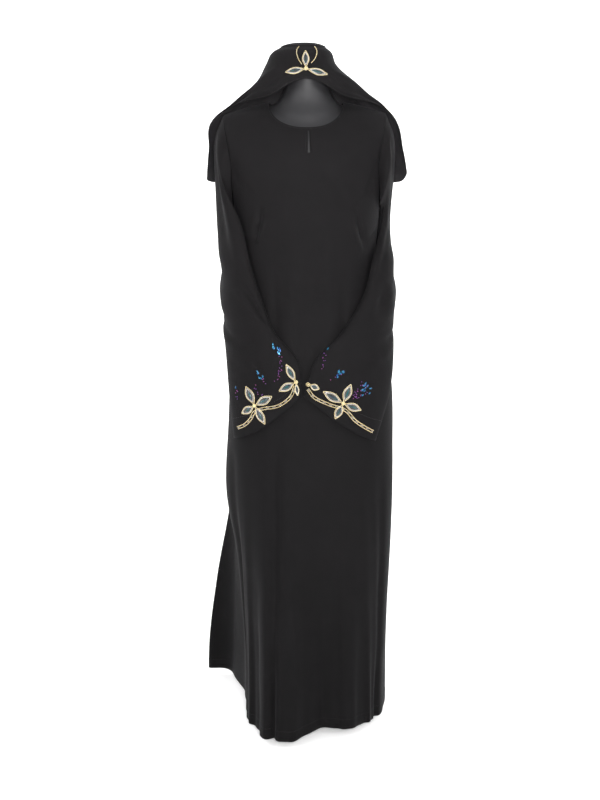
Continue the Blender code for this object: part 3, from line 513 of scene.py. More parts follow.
def crease_lift(
    creases: tuple[Crease, ...], u: np.ndarray, v: np.ndarray, scale: tuple[float, float]
) -> np.ndarray:
    """How far the creases move a surface along its normals. Each is depth times exp(-(d / width)^2), with d
    the distance from its path, uneven along it, faded at its ends, and with a low lip of the other sign
    beside it.

    Args:
        creases: the creases.
        u: first coordinate of the surface's points.
        v: second coordinate.
        scale: metres for one unit of each.

    Returns:
        The lift of each point.
    """
    lift = np.zeros(u.shape)
    flat_u, flat_v = u * scale[0], v * scale[1]
    for number, crease in enumerate(creases):
        path = through_rings(np.array(crease.path) * scale, CREASE_STEPS)
        reach = CREASE_REACH * crease.width
        low, high = path.min(axis=0) - reach, path.max(axis=0) + reach
        near = (flat_u > low[0]) & (flat_u < high[0]) & (flat_v > low[1]) & (flat_v < high[1])
        if not near.any():
            continue
        closest, along = nearest_on_path(flat_u[near], flat_v[near], path)
        waves = (size * np.sin(rate * along + shift * number) for size, rate, shift in CREASE_WAVES)
        uneven = sum(waves, 1)
        fade = np.cos(np.pi / 2 * along) ** 0.8 if crease.full_start else np.sin(np.pi * along) ** 0.75
        ratio = closest / (crease.width * (0.85 + 0.45 * along))
        lift[near] += crease.depth * uneven * fade * (1 - CREASE_LIP * ratio**2) * np.exp(-(ratio**2))
    return lift


def soft_swell(u: np.ndarray, v: np.ndarray, height: float, seed: float) -> np.ndarray:
    """The cloth's own unevenness: a sum of slow sines in both coordinates (metres)."""
    parts = (np.sin(a * u + b * v + c + seed) / (1 + 0.25 * k) for k, (a, b, c) in enumerate(SWELL_WAVES))
    return height * sum(parts) / 3


def grid_faces(columns: int, rows: int, wraps: bool = False, flip: bool = False) -> np.ndarray:
    """Quads of a grid whose point (column, row) has the number column * rows + row."""
    i, j = np.meshgrid(np.arange(columns if wraps else columns - 1), np.arange(rows - 1), indexing="ij")
    after = (i + 1) % columns
    faces = np.stack([i * rows + j, after * rows + j, after * rows + j + 1, i * rows + j + 1], axis=-1)
    return faces.reshape(-1, 4)[:, ::-1] if flip else faces.reshape(-1, 4)


def closed_wall(outer: np.ndarray, inner: np.ndarray) -> tuple[np.ndarray, list]:
    """A closed wall between two grids of the same shape: both sheets and the four edges between them.

    Args:
        outer: columns by rows of points.
        inner: the same points, moved in.

    Returns:
        The points and the faces, with outward normals where columns cross rows outwards.
    """
    columns, rows = outer.shape[:2]
    count = columns * rows
    faces = grid_faces(columns, rows)
    number = np.arange(count).reshape(columns, rows)
    rim = np.concatenate([number[:, 0], number[-1, 1:], number[-2::-1, -1], number[0, -2:0:-1]])
    after = np.roll(rim, -1)
    edge = np.stack([after, rim, rim + count, after + count], axis=-1)
    points = np.concatenate([outer.reshape(-1, 3), inner.reshape(-1, 3)])
    return points, np.concatenate([faces, faces[:, ::-1] + count, edge]).tolist()


def link_mesh(name: str, points: np.ndarray, faces: list, finish: Material) -> Object:
    """A smooth-shaded mesh object at the origin that rides on the part.

    Args:
        name: the piece's name.
        points: its points.
        faces: its faces as lists of point numbers.
        finish: its material.

    Returns:
        The object.
    """
    mesh = bpy.data.meshes.new(name)
    mesh.from_pydata(np.asarray(points, float).reshape(-1, 3).tolist(), [], faces)
    mesh.materials.append(finish)
    mesh.shade_smooth()
    mesh.update()
    obj = bpy.data.objects.new(name, mesh)
    bpy.context.scene.collection.objects.link(obj)
    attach(obj, ROOT)
    return obj


def tree_of(obj: Object) -> BVHTree:
    """A search tree of the triangles that a mesh is drawn with."""
    obj.data.calc_loop_triangles()
    triangles = [triangle.vertices for triangle in obj.data.loop_triangles]
    return BVHTree.FromPolygons([vertex.co for vertex in obj.data.vertices], triangles)


def cast(tree: BVHTree, spots: np.ndarray) -> Pair:
    """The points straight behind spots (x, z) on the front of a surface, and the normals there. A spot with
    no cloth behind it takes the nearest point of the surface."""
    places, normals = np.empty((*spots.shape[:-1], 3)), np.empty((*spots.shape[:-1], 3))
    for index in np.ndindex(spots.shape[:-1]):
        x, z = spots[index]
        found, normal, _, _ = tree.ray_cast(Vector((x, -1, z)), Vector((0, 1, 0)))
        if found is None:
            found, normal, _, _ = tree.find_nearest(Vector((x, BEFORE_CUFFS, z)))
        places[index] = found
        normals[index] = normal if normal.y < 0 else -normal
    return places, normals


class Socket:
    """A value in a material's nodes. Sums and products of it add their Math nodes."""

    def __init__(self, shader: "Shader", socket: NodeSocket) -> None:
        """Wraps an output socket of a shader's nodes."""
        self.shader, self.socket = shader, socket

    def combined(self, operation: str, first: object, second: object) -> "Socket":
        """A Math node of two values."""
        return self.shader.node("ShaderNodeMath", {"operation": operation}, {0: first, 1: second})

    def __add__(self, other: object) -> "Socket":
        """self + other."""
        return self.combined("ADD", self, other)

    def __mul__(self, other: object) -> "Socket":
        """self * other."""
        return self.combined("MULTIPLY", self, other)

    __radd__ = __add__


class Shader:
    """A Principled material under construction."""

    def __init__(self, name: str) -> None:
        """Makes the material."""
        self.material = bpy.data.materials.new(name)
        self.material.use_nodes = True
        self.tree = self.material.node_tree
        self.surface = self.tree.nodes["Principled BSDF"]

    def node(self, kind: str, settings: dict, inputs: dict, output: Union[int, str] = 0) -> Socket:
        """Adds a node.

        Args:
            kind: its type.
            settings: properties that are set first.
            inputs: values or links of its sockets, by name or number.
            output: the output that is returned.

        Returns:
            The output.
        """
        made = self.tree.nodes.new(kind)
        for name, value in settings.items():
            setattr(made, name, value)
        for name, value in inputs.items():
            self.feed(made.inputs[name], value)
        return Socket(self, made.outputs[output])

    def feed(self, target: NodeSocket, value: object) -> None:
        """Links a socket, or sets its own value."""
        if isinstance(value, Socket):
            self.tree.links.new(value.socket, target)
        else:
            target.default_value = value

    def place(self, stretch: Vector3 = (1, 1, 1)) -> Socket:
        """Object coordinates, stretched."""
        here = self.node("ShaderNodeTexCoord", {}, {}, "Object")
        return self.node("ShaderNodeMapping", {}, {"Vector": here, "Scale": stretch})

    def noise(self, scale: float, detail: float = 2.0, stretch: Vector3 = (1, 1, 1)) -> Socket:
        """Noise between 0 and 1, with features of about 1 / scale metres."""
        inputs = {"Vector": self.place(stretch), "Scale": scale, "Detail": detail}
        return self.node("ShaderNodeTexNoise", {}, inputs, 0)

    def cells(self, scale: float) -> Socket:
        """A value of its own for each small cell of space."""
        colour = self.node("ShaderNodeTexVoronoi", {}, {"Vector": self.place(), "Scale": scale}, "Color")
        return self.node("ShaderNodeSeparateColor", {}, {0: colour}, 0)

    def blend(self, share: Socket, low: Vector3, high: Vector3) -> Socket:
        """A colour between two others."""
        inputs = {0: share, 6: (*low, 1), 7: (*high, 1)}
        return self.node("ShaderNodeMix", {"data_type": "RGBA"}, inputs, 2)

    def set(self, values: dict) -> None:
        """Feeds the Principled shader's sockets."""
        for name, value in values.items():
            self.feed(self.surface.inputs[name], value)

    def relief(self, height: Socket, distance: float) -> None:
        """Bump from a height between 0 and 1."""
        bump = self.node("ShaderNodeBump", {}, {"Height": height, "Distance": distance, "Strength": 1.0}, 0)
        self.set({"Normal": bump})


@dataclass(frozen=True)
class Crepe:
    """Matte black crepe: pebbled yarns, a fine crinkle along the cloth and a soft sheen. Its colour darkens
    slowly towards the floor: painted shade for the light that falls off lower down."""

    name: str = "black crepe"
    deep: Vector3 = (0.0023, 0.0022, 0.0023)
    # The paler end of the colour: random tone, and painted light where the cloth is higher up
    paler_tone_and_lit: Vector3 = (0.0080, 0.0074, 0.0079)

    def made(self) -> Material:
        """The material."""
        shader = Shader(self.name)
        pebble = shader.noise(1250, 2.0)
        crinkle = shader.noise(620, 3.0, (1, 1, 0.22))
        slow = shader.noise(7, 3.0)
        patch = shader.noise(38, 2.0)
        # The height term makes the colour paler higher up: painted light above and painted shade towards the
        # floor
        height = shader.node("ShaderNodeSeparateXYZ", {}, {0: shader.place()}, 2)
        share = slow * 0.30 + patch * 0.15 + pebble * 0.20 + height * 0.34
        colour = shader.blend(share, self.deep, self.paler_tone_and_lit)
        shader.set({"Base Color": colour, "Roughness": 0.62 + pebble * 0.2})
        shader.set({"Sheen Weight": 0.02, "Sheen Roughness": 0.45, "Sheen Tint": (0.80, 0.80, 0.86, 1)})
        shader.set({"Specular IOR Level": 0.05})
        shader.relief(pebble * 0.55 + crinkle * 0.45, 0.00045)
        return shader.material


@dataclass(frozen=True)
class Thread:
    """The polyester thread of the topstitching."""

    name: str = "black thread"

    def made(self) -> Material:
        """The material."""
        shader = Shader(self.name)
        twist = shader.noise(2600, 1.0)
        shader.set({"Base Color": shader.blend(twist, (0.007, 0.007, 0.007), (0.022, 0.021, 0.022))})
        shader.set({"Roughness": 0.38 + twist * 0.1})
        shader.relief(twist, 0.0001)
        return shader.material


@dataclass(frozen=True)
class FormShell:
    """The dress form's smooth grey shell: a low gloss, slightly mottled, with the finest orange peel."""

    name: str = "dark grey form"

    def made(self) -> Material:
        """The material."""
        shader = Shader(self.name)
        mottle = shader.noise(9, 4.0)
        fine = shader.noise(140, 2.0)
        peel = shader.noise(420, 1.0)
        colour = shader.blend(mottle * 0.7 + fine * 0.3, (0.015, 0.015, 0.016), (0.024, 0.023, 0.025))
        shader.set({"Base Color": colour, "Roughness": 0.43 + fine * 0.12, "Specular IOR Level": 0.27})
        shader.relief(peel, 0.00012)
        return shader.material


@dataclass(frozen=True)
class Metal:
    """A metal with a drawn or cast grain, worn brighter in patches."""

    name: str
    dark: Vector3
    bright: Vector3
    metallic: float
    roughness: float
    stretch: Vector3 = (1, 1, 1)

    def made(self) -> Material:
        """The material."""
        shader = Shader(self.name)
        grain = shader.noise(700, 2.0, self.stretch)
        wear = shader.noise(24, 4.0)
        shader.set({"Base Color": shader.blend(wear * 0.6 + grain * 0.4, self.dark, self.bright)})
        shader.set({"Metallic": self.metallic, "Roughness": self.roughness + grain * 0.12})
        shader.relief(grain, 0.00008)
        return shader.material


@dataclass(frozen=True)
class Beads:
    """Glass and metal beads: each one has its own shade between two colours."""

    name: str
    low: Vector3
    high: Vector3
    metallic: float
    roughness: float
    scale: float = 420.0

    def made(self) -> Material:
        """The material."""
        shader = Shader(self.name)
        shade = shader.cells(self.scale)
        smear = shader.noise(900, 1.0)
        shader.set({"Base Color": shader.blend(shade * 0.75 + smear * 0.25, self.low, self.high)})
        shader.set({"Metallic": self.metallic, "Roughness": self.roughness + smear * 0.14})
        shader.set({"Coat Weight": 0.5, "Coat Roughness": 0.08})
        return shader.material


# The veil's inner side, the same crepe in paler colours as painted light for its shaded inside; the stand and
# the beadwork
VEIL_INSIDE_PAINTED_LIGHTER = Crepe("crepe of the veil inside painted lighter", (0.0105, 0.0100, 0.0108), (0.034, 0.032, 0.034))
STAND_FINISHES = {
    "form_pole": Metal("satin steel", (0.36, 0.36, 0.37), (0.52, 0.52, 0.53), 1.0, 0.26, (1, 1, 0.02)),
    "form_base": Metal("black enamel", (0.012, 0.012, 0.012), (0.032, 0.031, 0.031), 0.0, 0.32),
}
BEAD_FINISHES = {
    "gold": Beads("pale gold beads", (0.82, 0.62, 0.26), (1.0, 0.91, 0.60), 0.75, 0.22),
    "silver": Beads("silver beads", (0.66, 0.62, 0.60), (0.95, 0.92, 0.90), 0.7, 0.22),
    "thread": Beads("dark felt pads", (0.020, 0.018, 0.014), (0.060, 0.050, 0.035), 0.1, 0.7, 900),
    "stone": Beads("dark cut stones", (0.006, 0.008, 0.026), (0.008, 0.08, 0.085), 0.35, 0.10, 130),
    "teal": Beads("teal cut stones", (0.006, 0.02, 0.17), (0.012, 0.19, 0.27), 0.5, 0.12, 240),
    "magenta": Beads("violet sequins", (0.06, 0.03, 0.24), (0.34, 0.05, 0.20), 0.6, 0.26, 260),
}


class Side(Enum):
    """The wearer's side that a sleeve is on, and its sign along X."""

    RIGHT = -1
    LEFT = 1


@dataclass
class Cloth:
    """What a cloth piece leaves for its trimmings: its object, its grid of points and its normals."""

    obj: Object
    grid: np.ndarray
    normals: np.ndarray

    def row(self, number: int) -> Pair:
        """One row of the grid as a line, and its normals."""
        return self.grid[:, number], self.normals[:, number]

    def loop(self, number: int) -> Pair:
        """One row of a grid that closes on itself, and its normals."""
        line, normals = self.row(number)
        return np.concatenate([line, line[:1]]), np.concatenate([normals, normals[:1]])


@dataclass(kw_only=True)
class Garment:
    """A cloth piece: its names, the flat size and the area that it is cut to, and how it is worn."""

    name: str
    node: str
    flat: tuple[float, float]
    area: float
    wall: float
    held: str = "hung"
    rests_on: str = "form_torso"

    def sewn(self, points: np.ndarray, faces: list, *finishes: Material) -> Object:
        """The cloth's object in its node's place, with its thickness on its inner side.

        Args:
            points: the points of its outer side.
            faces: its faces as lists of point numbers.
            finishes: its material, and the one of its inner side where that differs.

        Returns:
            The object.
        """
        obj = link_mesh(self.name, points, faces, finishes[0])
        solid = obj.modifiers.new("wall", "SOLIDIFY")
        solid.thickness = self.wall
        solid.offset = -1
        solid.use_rim = True
        for inside in finishes[1:]:
            obj.data.materials.append(inside)
            solid.material_offset = 1
        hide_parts(self.node)
        area = sum(face.area for face in obj.data.polygons)
        LOG.info("%s: %d faces, %.3f m2", self.name, len(faces), area)
        return obj

    def declare(self, cloth: Cloth, pieces: list[Object]) -> None:
        """Does nothing with the piece or with what is sewn to it."""


@dataclass(kw_only=True)
class Panel(Garment):
    """The front or the back of the kaftan: a shell from the hem to the neck opening and the shoulder seam."""

    back: bool
    creases: tuple[Crease, ...]
    half_columns: int
    crease_gain: float
    swell_seed: float
    wall: float = 0.0011
    hem_depth: float = 0.026
    hem_step: float = 0.0005
    rows_below: int = 236
    armhole_rows: int = 24
    shoulder_rows: int = 30
    slit_rows: tuple[int, int, int] = (8, 14, 5)
    slit_half: float = 0.0029
    turn_scale: float = 0.003
    swell: float = 0.0011
    neck_stitch_row: int = -3
    calm_heights: tuple[float, float] = (1.34, 1.40)
    calm_rest: float = 0.35
    edge_shares: tuple[float, float] = (0.93, 1.0)
    edge_rest: float = 0.15

    def shares(self) -> np.ndarray:
        """Where the columns stand, from -1 to 1 across the panel. The slit has a column on each edge."""
        half = np.linspace(0, 1, self.half_columns + 1)[1:]
        if self.back:
            return np.concatenate([-half[::-1], [0.0], half])
        edges = np.array([SLIT_PLACE - self.slit_half, SLIT_PLACE + self.slit_half])
        slit = np.degrees((edges / KAFTAN_RINGS[-1].left) ** (SQUARENESS / 2)) / 90
        beyond = half[half > slit[1] + 0.004]
        return np.concatenate([-half[::-1], slit, beyond])

    def upper_rows(self) -> tuple[np.ndarray, slice]:
        """Shares of the way from the armhole's middle to a column's end, and the rows that the slit spans."""
        if self.back:
            return shoulder_shares(self.shoulder_rows), slice(0, 0)
        whole = math.degrees(math.asin(1 - NECK_DROP_FRONT))
        climbs = [(z - ARMHOLE_MIDDLE) / (SHOULDER_PEAK - ARMHOLE_MIDDLE) for z in (SLIT_BOTTOM, SLIT_TOP)]
        bottom, top = (math.degrees(math.asin(climb)) / whole for climb in climbs)
        below, beside, above = self.slit_rows
        spans = ((0, bottom, below), (bottom, top, beside), (top, 1, above))
        parts = [np.linspace(low, high, rows + 1)[1:] for low, high, rows in spans]
        return np.concatenate(parts), slice(below - 1, below + beside - 1)

    def tops(self, shares: np.ndarray) -> Pair:
        """The angle and the rise where each column ends: round the neck opening, then along the shoulder."""
        width = (KAFTAN_RINGS[-1].right + KAFTAN_RINGS[-1].left) / 2
        power = SQUARENESS / 2
        foot = NECK_HALF_WIDTH / (1 + SHOULDER_SPREAD) / width
        corner = math.degrees(math.asin(foot**power))
        armhole = float(KAFTAN_BODY.armhole_angle(ARMHOLE_MIDDLE, self.back))
        share = np.abs(shares)
        across = np.sin(np.pi / 2 * np.minimum(share / NECK_SHARE, 1))
        round_neck = np.degrees(np.arcsin((across * foot) ** power))
        along = corner + (armhole - corner) * (share - NECK_SHARE) / (1 - NECK_SHARE)
        angle = np.where(share < NECK_SHARE, round_neck, along) * np.sign(shares)
        drop = NECK_DROP_BACK if self.back else NECK_DROP_FRONT
        dip = (1 - across**NECK_ROUNDNESS) ** (1 / NECK_ROUNDNESS)
        return 180 - angle if self.back else angle, np.degrees(np.arcsin(1 - drop * dip))

    def lower_part(self, shares: np.ndarray) -> Pair:
        """Angles and heights from the waved hem up to the armhole's middle, columns by rows."""
        straight = np.linspace(HEM_Z, ARMPIT_HEIGHT, self.rows_below)
        round_hole = np.sin(np.linspace(np.pi / 2, 0, self.armhole_rows + 1)[1:])
        z = np.concatenate([straight, ARMHOLE_MIDDLE - (ARMHOLE_MIDDLE - ARMPIT_HEIGHT) * round_hole])
        reach = KAFTAN_BODY.armhole_angle(z, self.back)
        angle = 90 * shares[:, None] - (90 - reach[None, :]) * (np.sign(shares) * shares**2)[:, None]
        if self.back:
            angle = 180 - angle
        wave = HEM_WAVE * np.sin(np.radians(HEM_WAVES * angle + HEM_WAVE_START))
        return angle, z + wave * np.clip((HEM_WAVE_TOP - z) / (HEM_WAVE_TOP - HEM_Z), 0, 1)

    def lift(self, shares: np.ndarray, turn: np.ndarray, z: np.ndarray) -> np.ndarray:
        """How far the cloth is moved out.

        Args:
            shares: where the columns stand.
            turn: the points' angles.
            z: their heights.

        Returns:
            The creases and the unevenness, calmer at the shoulder and the side edges, with the hem's doubled
            cloth and the fullness where the train begins.
        """
        creased = self.crease_gain * crease_lift(self.creases, turn, z, (self.turn_scale, 1.0))
        creased = creased + soft_swell(turn * self.turn_scale, z, self.swell, self.swell_seed)
        calm = 1 - eased(z, *self.calm_heights)
        edge = 1 - eased(np.abs(shares), *self.edge_shares)[:, None]
        out = creased * (self.calm_rest + (1 - self.calm_rest) * calm)
        creased = np.where(creased < 0, creased * calm, out) * (self.edge_rest + (1 - self.edge_rest) * edge)
        hem_top = HEM_Z + self.hem_depth
        hem = self.hem_step * (1 - eased(z, hem_top, hem_top + 0.002))
        away = turned_by(turn, TRAIN_ANGLE)
        train = TRAIN_SWELL * np.exp(-((away / TRAIN_WIDTH) ** 2))
        return creased + hem + train * np.exp(-(((z - TRAIN_HEIGHT) / TRAIN_SPAN) ** 2))

    def build(self, finish: Material) -> Cloth:
        """Builds the panel.

        Args:
            finish: its material.

        Returns:
            The panel with its grid.
        """
        shares = self.shares()
        angle, z = self.lower_part(shares)
        rows, slit = self.upper_rows()
        top_angle, top_rise = self.tops(shares)
        lean = angle[:, -1:] + (top_angle[:, None] - angle[:, -1:]) * rows[None, :]
        rise = top_rise[:, None] * rows[None, :]
        body = KAFTAN_BODY
        grid = np.concatenate([body.point(angle, z), body.shoulder_point(lean, rise)], axis=1)
        normals = np.concatenate([body.normal(angle, z), body.shoulder_normal(lean, rise)], axis=1)
        lift = self.lift(shares, np.concatenate([angle, lean], axis=1), grid[..., 2])
        grid = grid + normals * lift[..., None]
        columns, count = grid.shape[:2]
        faces = grid_faces(columns, count, flip=self.back)
        if not self.back:
            first = z.shape[1]
            number = np.arange(len(faces)).reshape(columns - 1, count - 1)
            open_faces = number[self.half_columns, first + slit.start : first + slit.stop]
            faces = np.delete(faces, open_faces, axis=0)
        return Cloth(self.sewn(grid, faces.tolist(), finish), grid, normals)

    def stitch_lines(self, cloth: Cloth) -> list[Pair]:
        """The rows of stitches: over the hem's edge and round the neck opening."""
        hem_row = int(round(self.hem_depth / (ARMPIT_HEIGHT - HEM_Z) * (self.rows_below - 1)))
        line, normals = cloth.row(self.neck_stitch_row)
        neck = slice(self.half_columns // 2, -(self.half_columns // 2))
        return [cloth.row(hem_row), (line[neck], normals[neck])]


@dataclass(kw_only=True)
class Sleeve(Garment):
    """A long sleeve: a tube from the armhole over the cap, lying on the body, to the cuff."""

    side: Side
    bands: tuple[Band, ...]
    creases: tuple[Crease, ...]
    flat: tuple[float, float] = (0.44, 0.76)
    area: float = 0.245
    rests_on: str = "kaftan_front"
    wall: float = 0.0010
    columns: int = 128
    steps: int = 24
    clearance: float = 0.0044
    cuff_rows: int = 9
    cuff_step: float = 0.0005
    crease_gain: float = 1.35
    crease_scale: tuple[float, float] = (0.0008, 0.075)
    swell: float = 0.0011
    edge: float = 0.18
    outer_cosines: tuple[float, float] = (0.02, 0.35)
    calm_top: float = 0.35
    calm_cuff: tuple[float, float] = (6.2, 0.7)
    seam_gap: tuple[float, float] = (0.0007, 0.0017)
    cap_tilt: float = 15.0
    cap_shift: tuple[float, float] = (0.021, -0.034)
    cap_half: tuple[float, float] = (0.070, 0.074)

    def armhole(self, turns: np.ndarray) -> Pair:
        """The armhole's edge and the body's normals there, at turns from the shoulder seam over the front."""
        back = turns > 180
        from_top = np.where(back, 360 - turns, turns)
        low = np.maximum(from_top, 90)
        z = ARMHOLE_MIDDLE - (ARMHOLE_MIDDLE - ARMPIT_HEIGHT) * np.sin(np.radians(low - 90))
        angle = KAFTAN_BODY.armhole_angle(z, back) * self.side.value
        angle = np.where(back, 180 - angle, angle)
        rise = 90 - np.minimum(from_top, 90)
        above = (from_top <= 90)[:, None]
        edge = np.where(above, BARE_BODY.shoulder_point(angle, rise), BARE_BODY.point(angle, z))
        normal = np.where(above, BARE_BODY.shoulder_normal(angle, rise), BARE_BODY.normal(angle, z))
        return edge, normal

    def cap(self, turns: np.ndarray) -> np.ndarray:
        """A tilted ring a little way down the sleeve, where its cap falls from the shoulder."""
        turn, tilt, sign = np.radians(turns), math.radians(self.cap_tilt), self.side.value
        out, down = self.cap_shift
        middle = self.armhole(np.array([90.0, 270.0]))[0].mean(axis=0) + np.array([sign * out, 0, down])
        over = self.cap_half[1] * np.cos(turn)
        along = [sign * math.sin(tilt) * over, -self.cap_half[0] * np.sin(turn), math.cos(tilt) * over]
        return middle + np.stack(along, axis=-1)

    def band_ring(self, band: Band, turns: np.ndarray) -> np.ndarray:
        """A flattened ring lying on the body, from its front edge (turn 90) to its back edge (turn 270)."""
        turn = np.radians(turns)
        share = (1 - np.sin(turn)) / 2
        angle = band.front_angle + (band.back_angle - band.front_angle) * share
        z = band.front_z + (band.back_z - band.front_z) * share - 4 * band.sag * share * (1 - share)
        thin = np.abs(np.cos(turn)) ** 0.8
        raised = np.where(np.cos(turn) > 0, self.edge + (1 - self.edge) * thin, self.edge * (1 - thin))
        lift = self.clearance + band.thickness * raised
        return BARE_BODY.point(angle, z) + BARE_BODY.normal(angle, z) * lift[:, None]

    def kept_clear(self, points: np.ndarray) -> np.ndarray:
        """Points pushed out, level, until they clear the kaftan's body. Above the armpit they stay."""
        x, y, z = np.moveaxis(points, -1, 0)
        width, depth = BARE_BODY.half_sizes(x, y, z)
        size = (np.abs(x / width) ** SQUARENESS + np.abs(y / depth) ** SQUARENESS) ** (1 / SQUARENESS)
        wanted = 1 + self.clearance / np.minimum(width, depth)
        factor = np.where(z < ARMPIT_HEIGHT + 0.02, np.maximum(1, wanted / size), 1)
        return np.stack([x * factor, y * factor, z], axis=-1)

    def tube(self, turns: np.ndarray) -> Pair:
        """The smooth sleeve and its normals, rings along it by points round it."""
        edge, normal = self.armhole(turns)
        drop = np.clip((ARMHOLE_MIDDLE - edge[:, 2]) / (ARMHOLE_MIDDLE - ARMPIT_HEIGHT), 0, 1)[:, None]
        aside, off = self.seam_gap
        start = edge + np.array([self.side.value * aside, 0, 0]) + normal * off * drop
        rings = [start, self.cap(turns)] + [self.band_ring(band, turns) for band in self.bands]
        grid = through_rings(np.array(rings), self.steps)
        grid[1:] = self.kept_clear(grid[1:])
        round_it = np.roll(grid, -1, axis=1) - np.roll(grid, 1, axis=1)
        normals = unit(np.cross(round_it, np.gradient(grid, axis=0))) * self.side.value
        normals[0] = unit(normal)
        return grid, normals

    def lift(self, turn: np.ndarray, ring: np.ndarray) -> np.ndarray:
        """How far the cloth is moved out: creases and unevenness on the outer side, and the cuff's hem."""
        scale = self.crease_scale
        creased = self.crease_gain * crease_lift(self.creases, turn, ring, scale)
        creased = creased + soft_swell(turn * scale[0], ring * scale[1], self.swell, 2.0 + self.side.value)
        outside = eased(np.cos(np.radians(turn)), *self.outer_cosines)
        end = len(self.bands) + 1
        calm_from, calm = self.calm_cuff
        ends = eased(ring, 0.0, self.calm_top) * (1 - calm * eased(ring, calm_from, end))
        hem = eased(ring, end - (self.cuff_rows + 1) / self.steps, end - self.cuff_rows / self.steps)
        return creased * outside * ends + self.cuff_step * hem

    def build(self, finish: Material) -> Cloth:
        """Builds the sleeve.

        Args:
            finish: its material.

        Returns:
            The sleeve with its grid, columns round it by rings along it.
        """
        turns = np.arange(self.columns) * 360 / self.columns
        grid, normals = (part.transpose(1, 0, 2) for part in self.tube(turns))
        signed = np.where(turns > 180, turns - 360, turns)
        lift = self.lift(*np.meshgrid(signed, np.arange(grid.shape[1]) / self.steps, indexing="ij"))
        grid = grid + normals * lift[..., None]
        faces = grid_faces(*grid.shape[:2], wraps=True, flip=self.side is Side.RIGHT)
        return Cloth(self.sewn(grid, faces.tolist(), finish), grid, normals)

    def stitch_lines(self, cloth: Cloth) -> list[Pair]:
        """The row of stitches round the cuff, over the edge of its hem."""
        return [cloth.loop(-1 - self.cuff_rows)]


@dataclass(kw_only=True)
class Veil(Garment):
    """The head veil: one piece over the neck of the form, open at the front, down to a hem behind."""

    name: str = "veil_cloth"
    node: str = "veil"
    flat: tuple[float, float] = (0.50, 0.44)
    area: float = 0.20
    held: str = "draped"
    wall: float = 0.0009
    around: int = 260
    rows: int = 120
    crown_rows: int = 13
    top: float = 1.6130
    rounding: float = 0.03
    raised: float = 0.014
    raised_at: float = 0.42
    raised_width: float = 0.06
    crease_gain: float = 1.2
    turn_scale: float = 0.0022
    swell: float = 0.0010
    swell_seed: float = 7.0
    hem_step: float = 0.0004
    hem_shares: tuple[float, float] = (0.045, 0.055)
    crown_heights: tuple[float, float] = (1.56, 1.59)
    edge_rest: float = 0.3
    edge_share: float = 0.10
    stitch_row: int = 5

    def edge(self, share: np.ndarray) -> Pair:
        """The angle and height of the veil's edge at shares of the way from the back to the front, with the
        table's corners rounded by a running mean and the corner at the wearer's left raised."""
        table = np.array(VEIL_EDGE)
        angle, z = np.zeros(share.shape), np.zeros(share.shape)
        steps = np.linspace(-self.rounding, self.rounding, 9)
        for step in steps:
            at = np.abs(share) + step
            inside = np.where(at > 1, 2 - at, np.abs(at))
            value = np.interp(inside, table[:, 0], table[:, 1])
            value = np.where(at > 1, -value, np.where(at < 0, 360 - value, value))
            angle += value / len(steps)
            z += np.interp(inside, table[:, 0], table[:, 2]) / len(steps)
        z = z + self.raised * np.exp(-(((share - self.raised_at) / self.raised_width) ** 2))
        return angle * np.sign(share + 1e-9), z

    def lift(self, turn: np.ndarray, z: np.ndarray, way: np.ndarray) -> np.ndarray:
        """How far the cloth is moved out: creases, calmer at the edge and the crown, and the narrow hem."""
        creased = self.crease_gain * crease_lift(VEIL_CREASES, turn, z, (self.turn_scale, 1.0))
        creased = creased + soft_swell(turn * self.turn_scale, z, self.swell, self.swell_seed)
        crown = 1 - eased(z, *self.crown_heights)
        edge = self.edge_rest + (1 - self.edge_rest) * eased(way, 0.0, self.edge_share)
        return creased * crown * edge[None, :] + self.hem_step * (1 - eased(way, *self.hem_shares))[None, :]

    def crown(self, grid: np.ndarray) -> Pair:
        """The rows that close the crown above the grid's last one, and the point in its middle."""
        middle = grid[:, -1].mean(axis=0)
        share = np.linspace(1, 0, self.crown_rows + 2)[1:-1]
        rows = middle + (grid[:, -1:] - middle) * share[None, :, None]
        rows[..., 2] = self.top - (self.top - VEIL_RINGS[-1].z) * share[None, :] ** 3
        return rows, np.array([[middle[0], middle[1], self.top]])

    def build(self, finish: Material) -> Cloth:
        """Builds the veil.

        Args:
            finish: its material.

        Returns:
            The veil with its grid, columns round it by rows from its edge up.
        """
        body = Body(VEIL_RINGS)
        share = np.linspace(-1, 1, self.around, endpoint=False)
        edge_angle, edge_z = self.edge(share)
        top_angle = 180 * (1 - np.abs(share)) * np.sign(share + 1e-9)
        way = np.linspace(0, 1, self.rows)
        angle = edge_angle[:, None] + (top_angle - edge_angle)[:, None] * (way**0.8)[None, :]
        z = edge_z[:, None] + (VEIL_RINGS[-1].z - edge_z)[:, None] * way[None, :]
        normals = body.normal(angle, z)
        lift = self.lift(np.broadcast_to(share[:, None] * 180, z.shape), z, way)
        grid = body.point(angle, z) + normals * lift[..., None]
        crown, pole = self.crown(grid)
        whole = np.concatenate([grid, crown], axis=1)
        rows = whole.shape[1]
        faces = grid_faces(self.around, rows, wraps=True, flip=True).tolist()
        for i in range(self.around):
            faces.append([(i + 1) % self.around * rows + rows - 1, i * rows + rows - 1, self.around * rows])
        points = np.concatenate([whole.reshape(-1, 3), pole])
        # The inner side takes the paler crepe: painted light in the shade between the veil and the shoulders
        return Cloth(self.sewn(points, faces, finish, VEIL_INSIDE_PAINTED_LIGHTER.made()), grid, normals)

    def stitch_lines(self, cloth: Cloth) -> list[Pair]:
        """The row of stitches all round the veil's edge."""
        return [cloth.loop(self.stitch_row)]


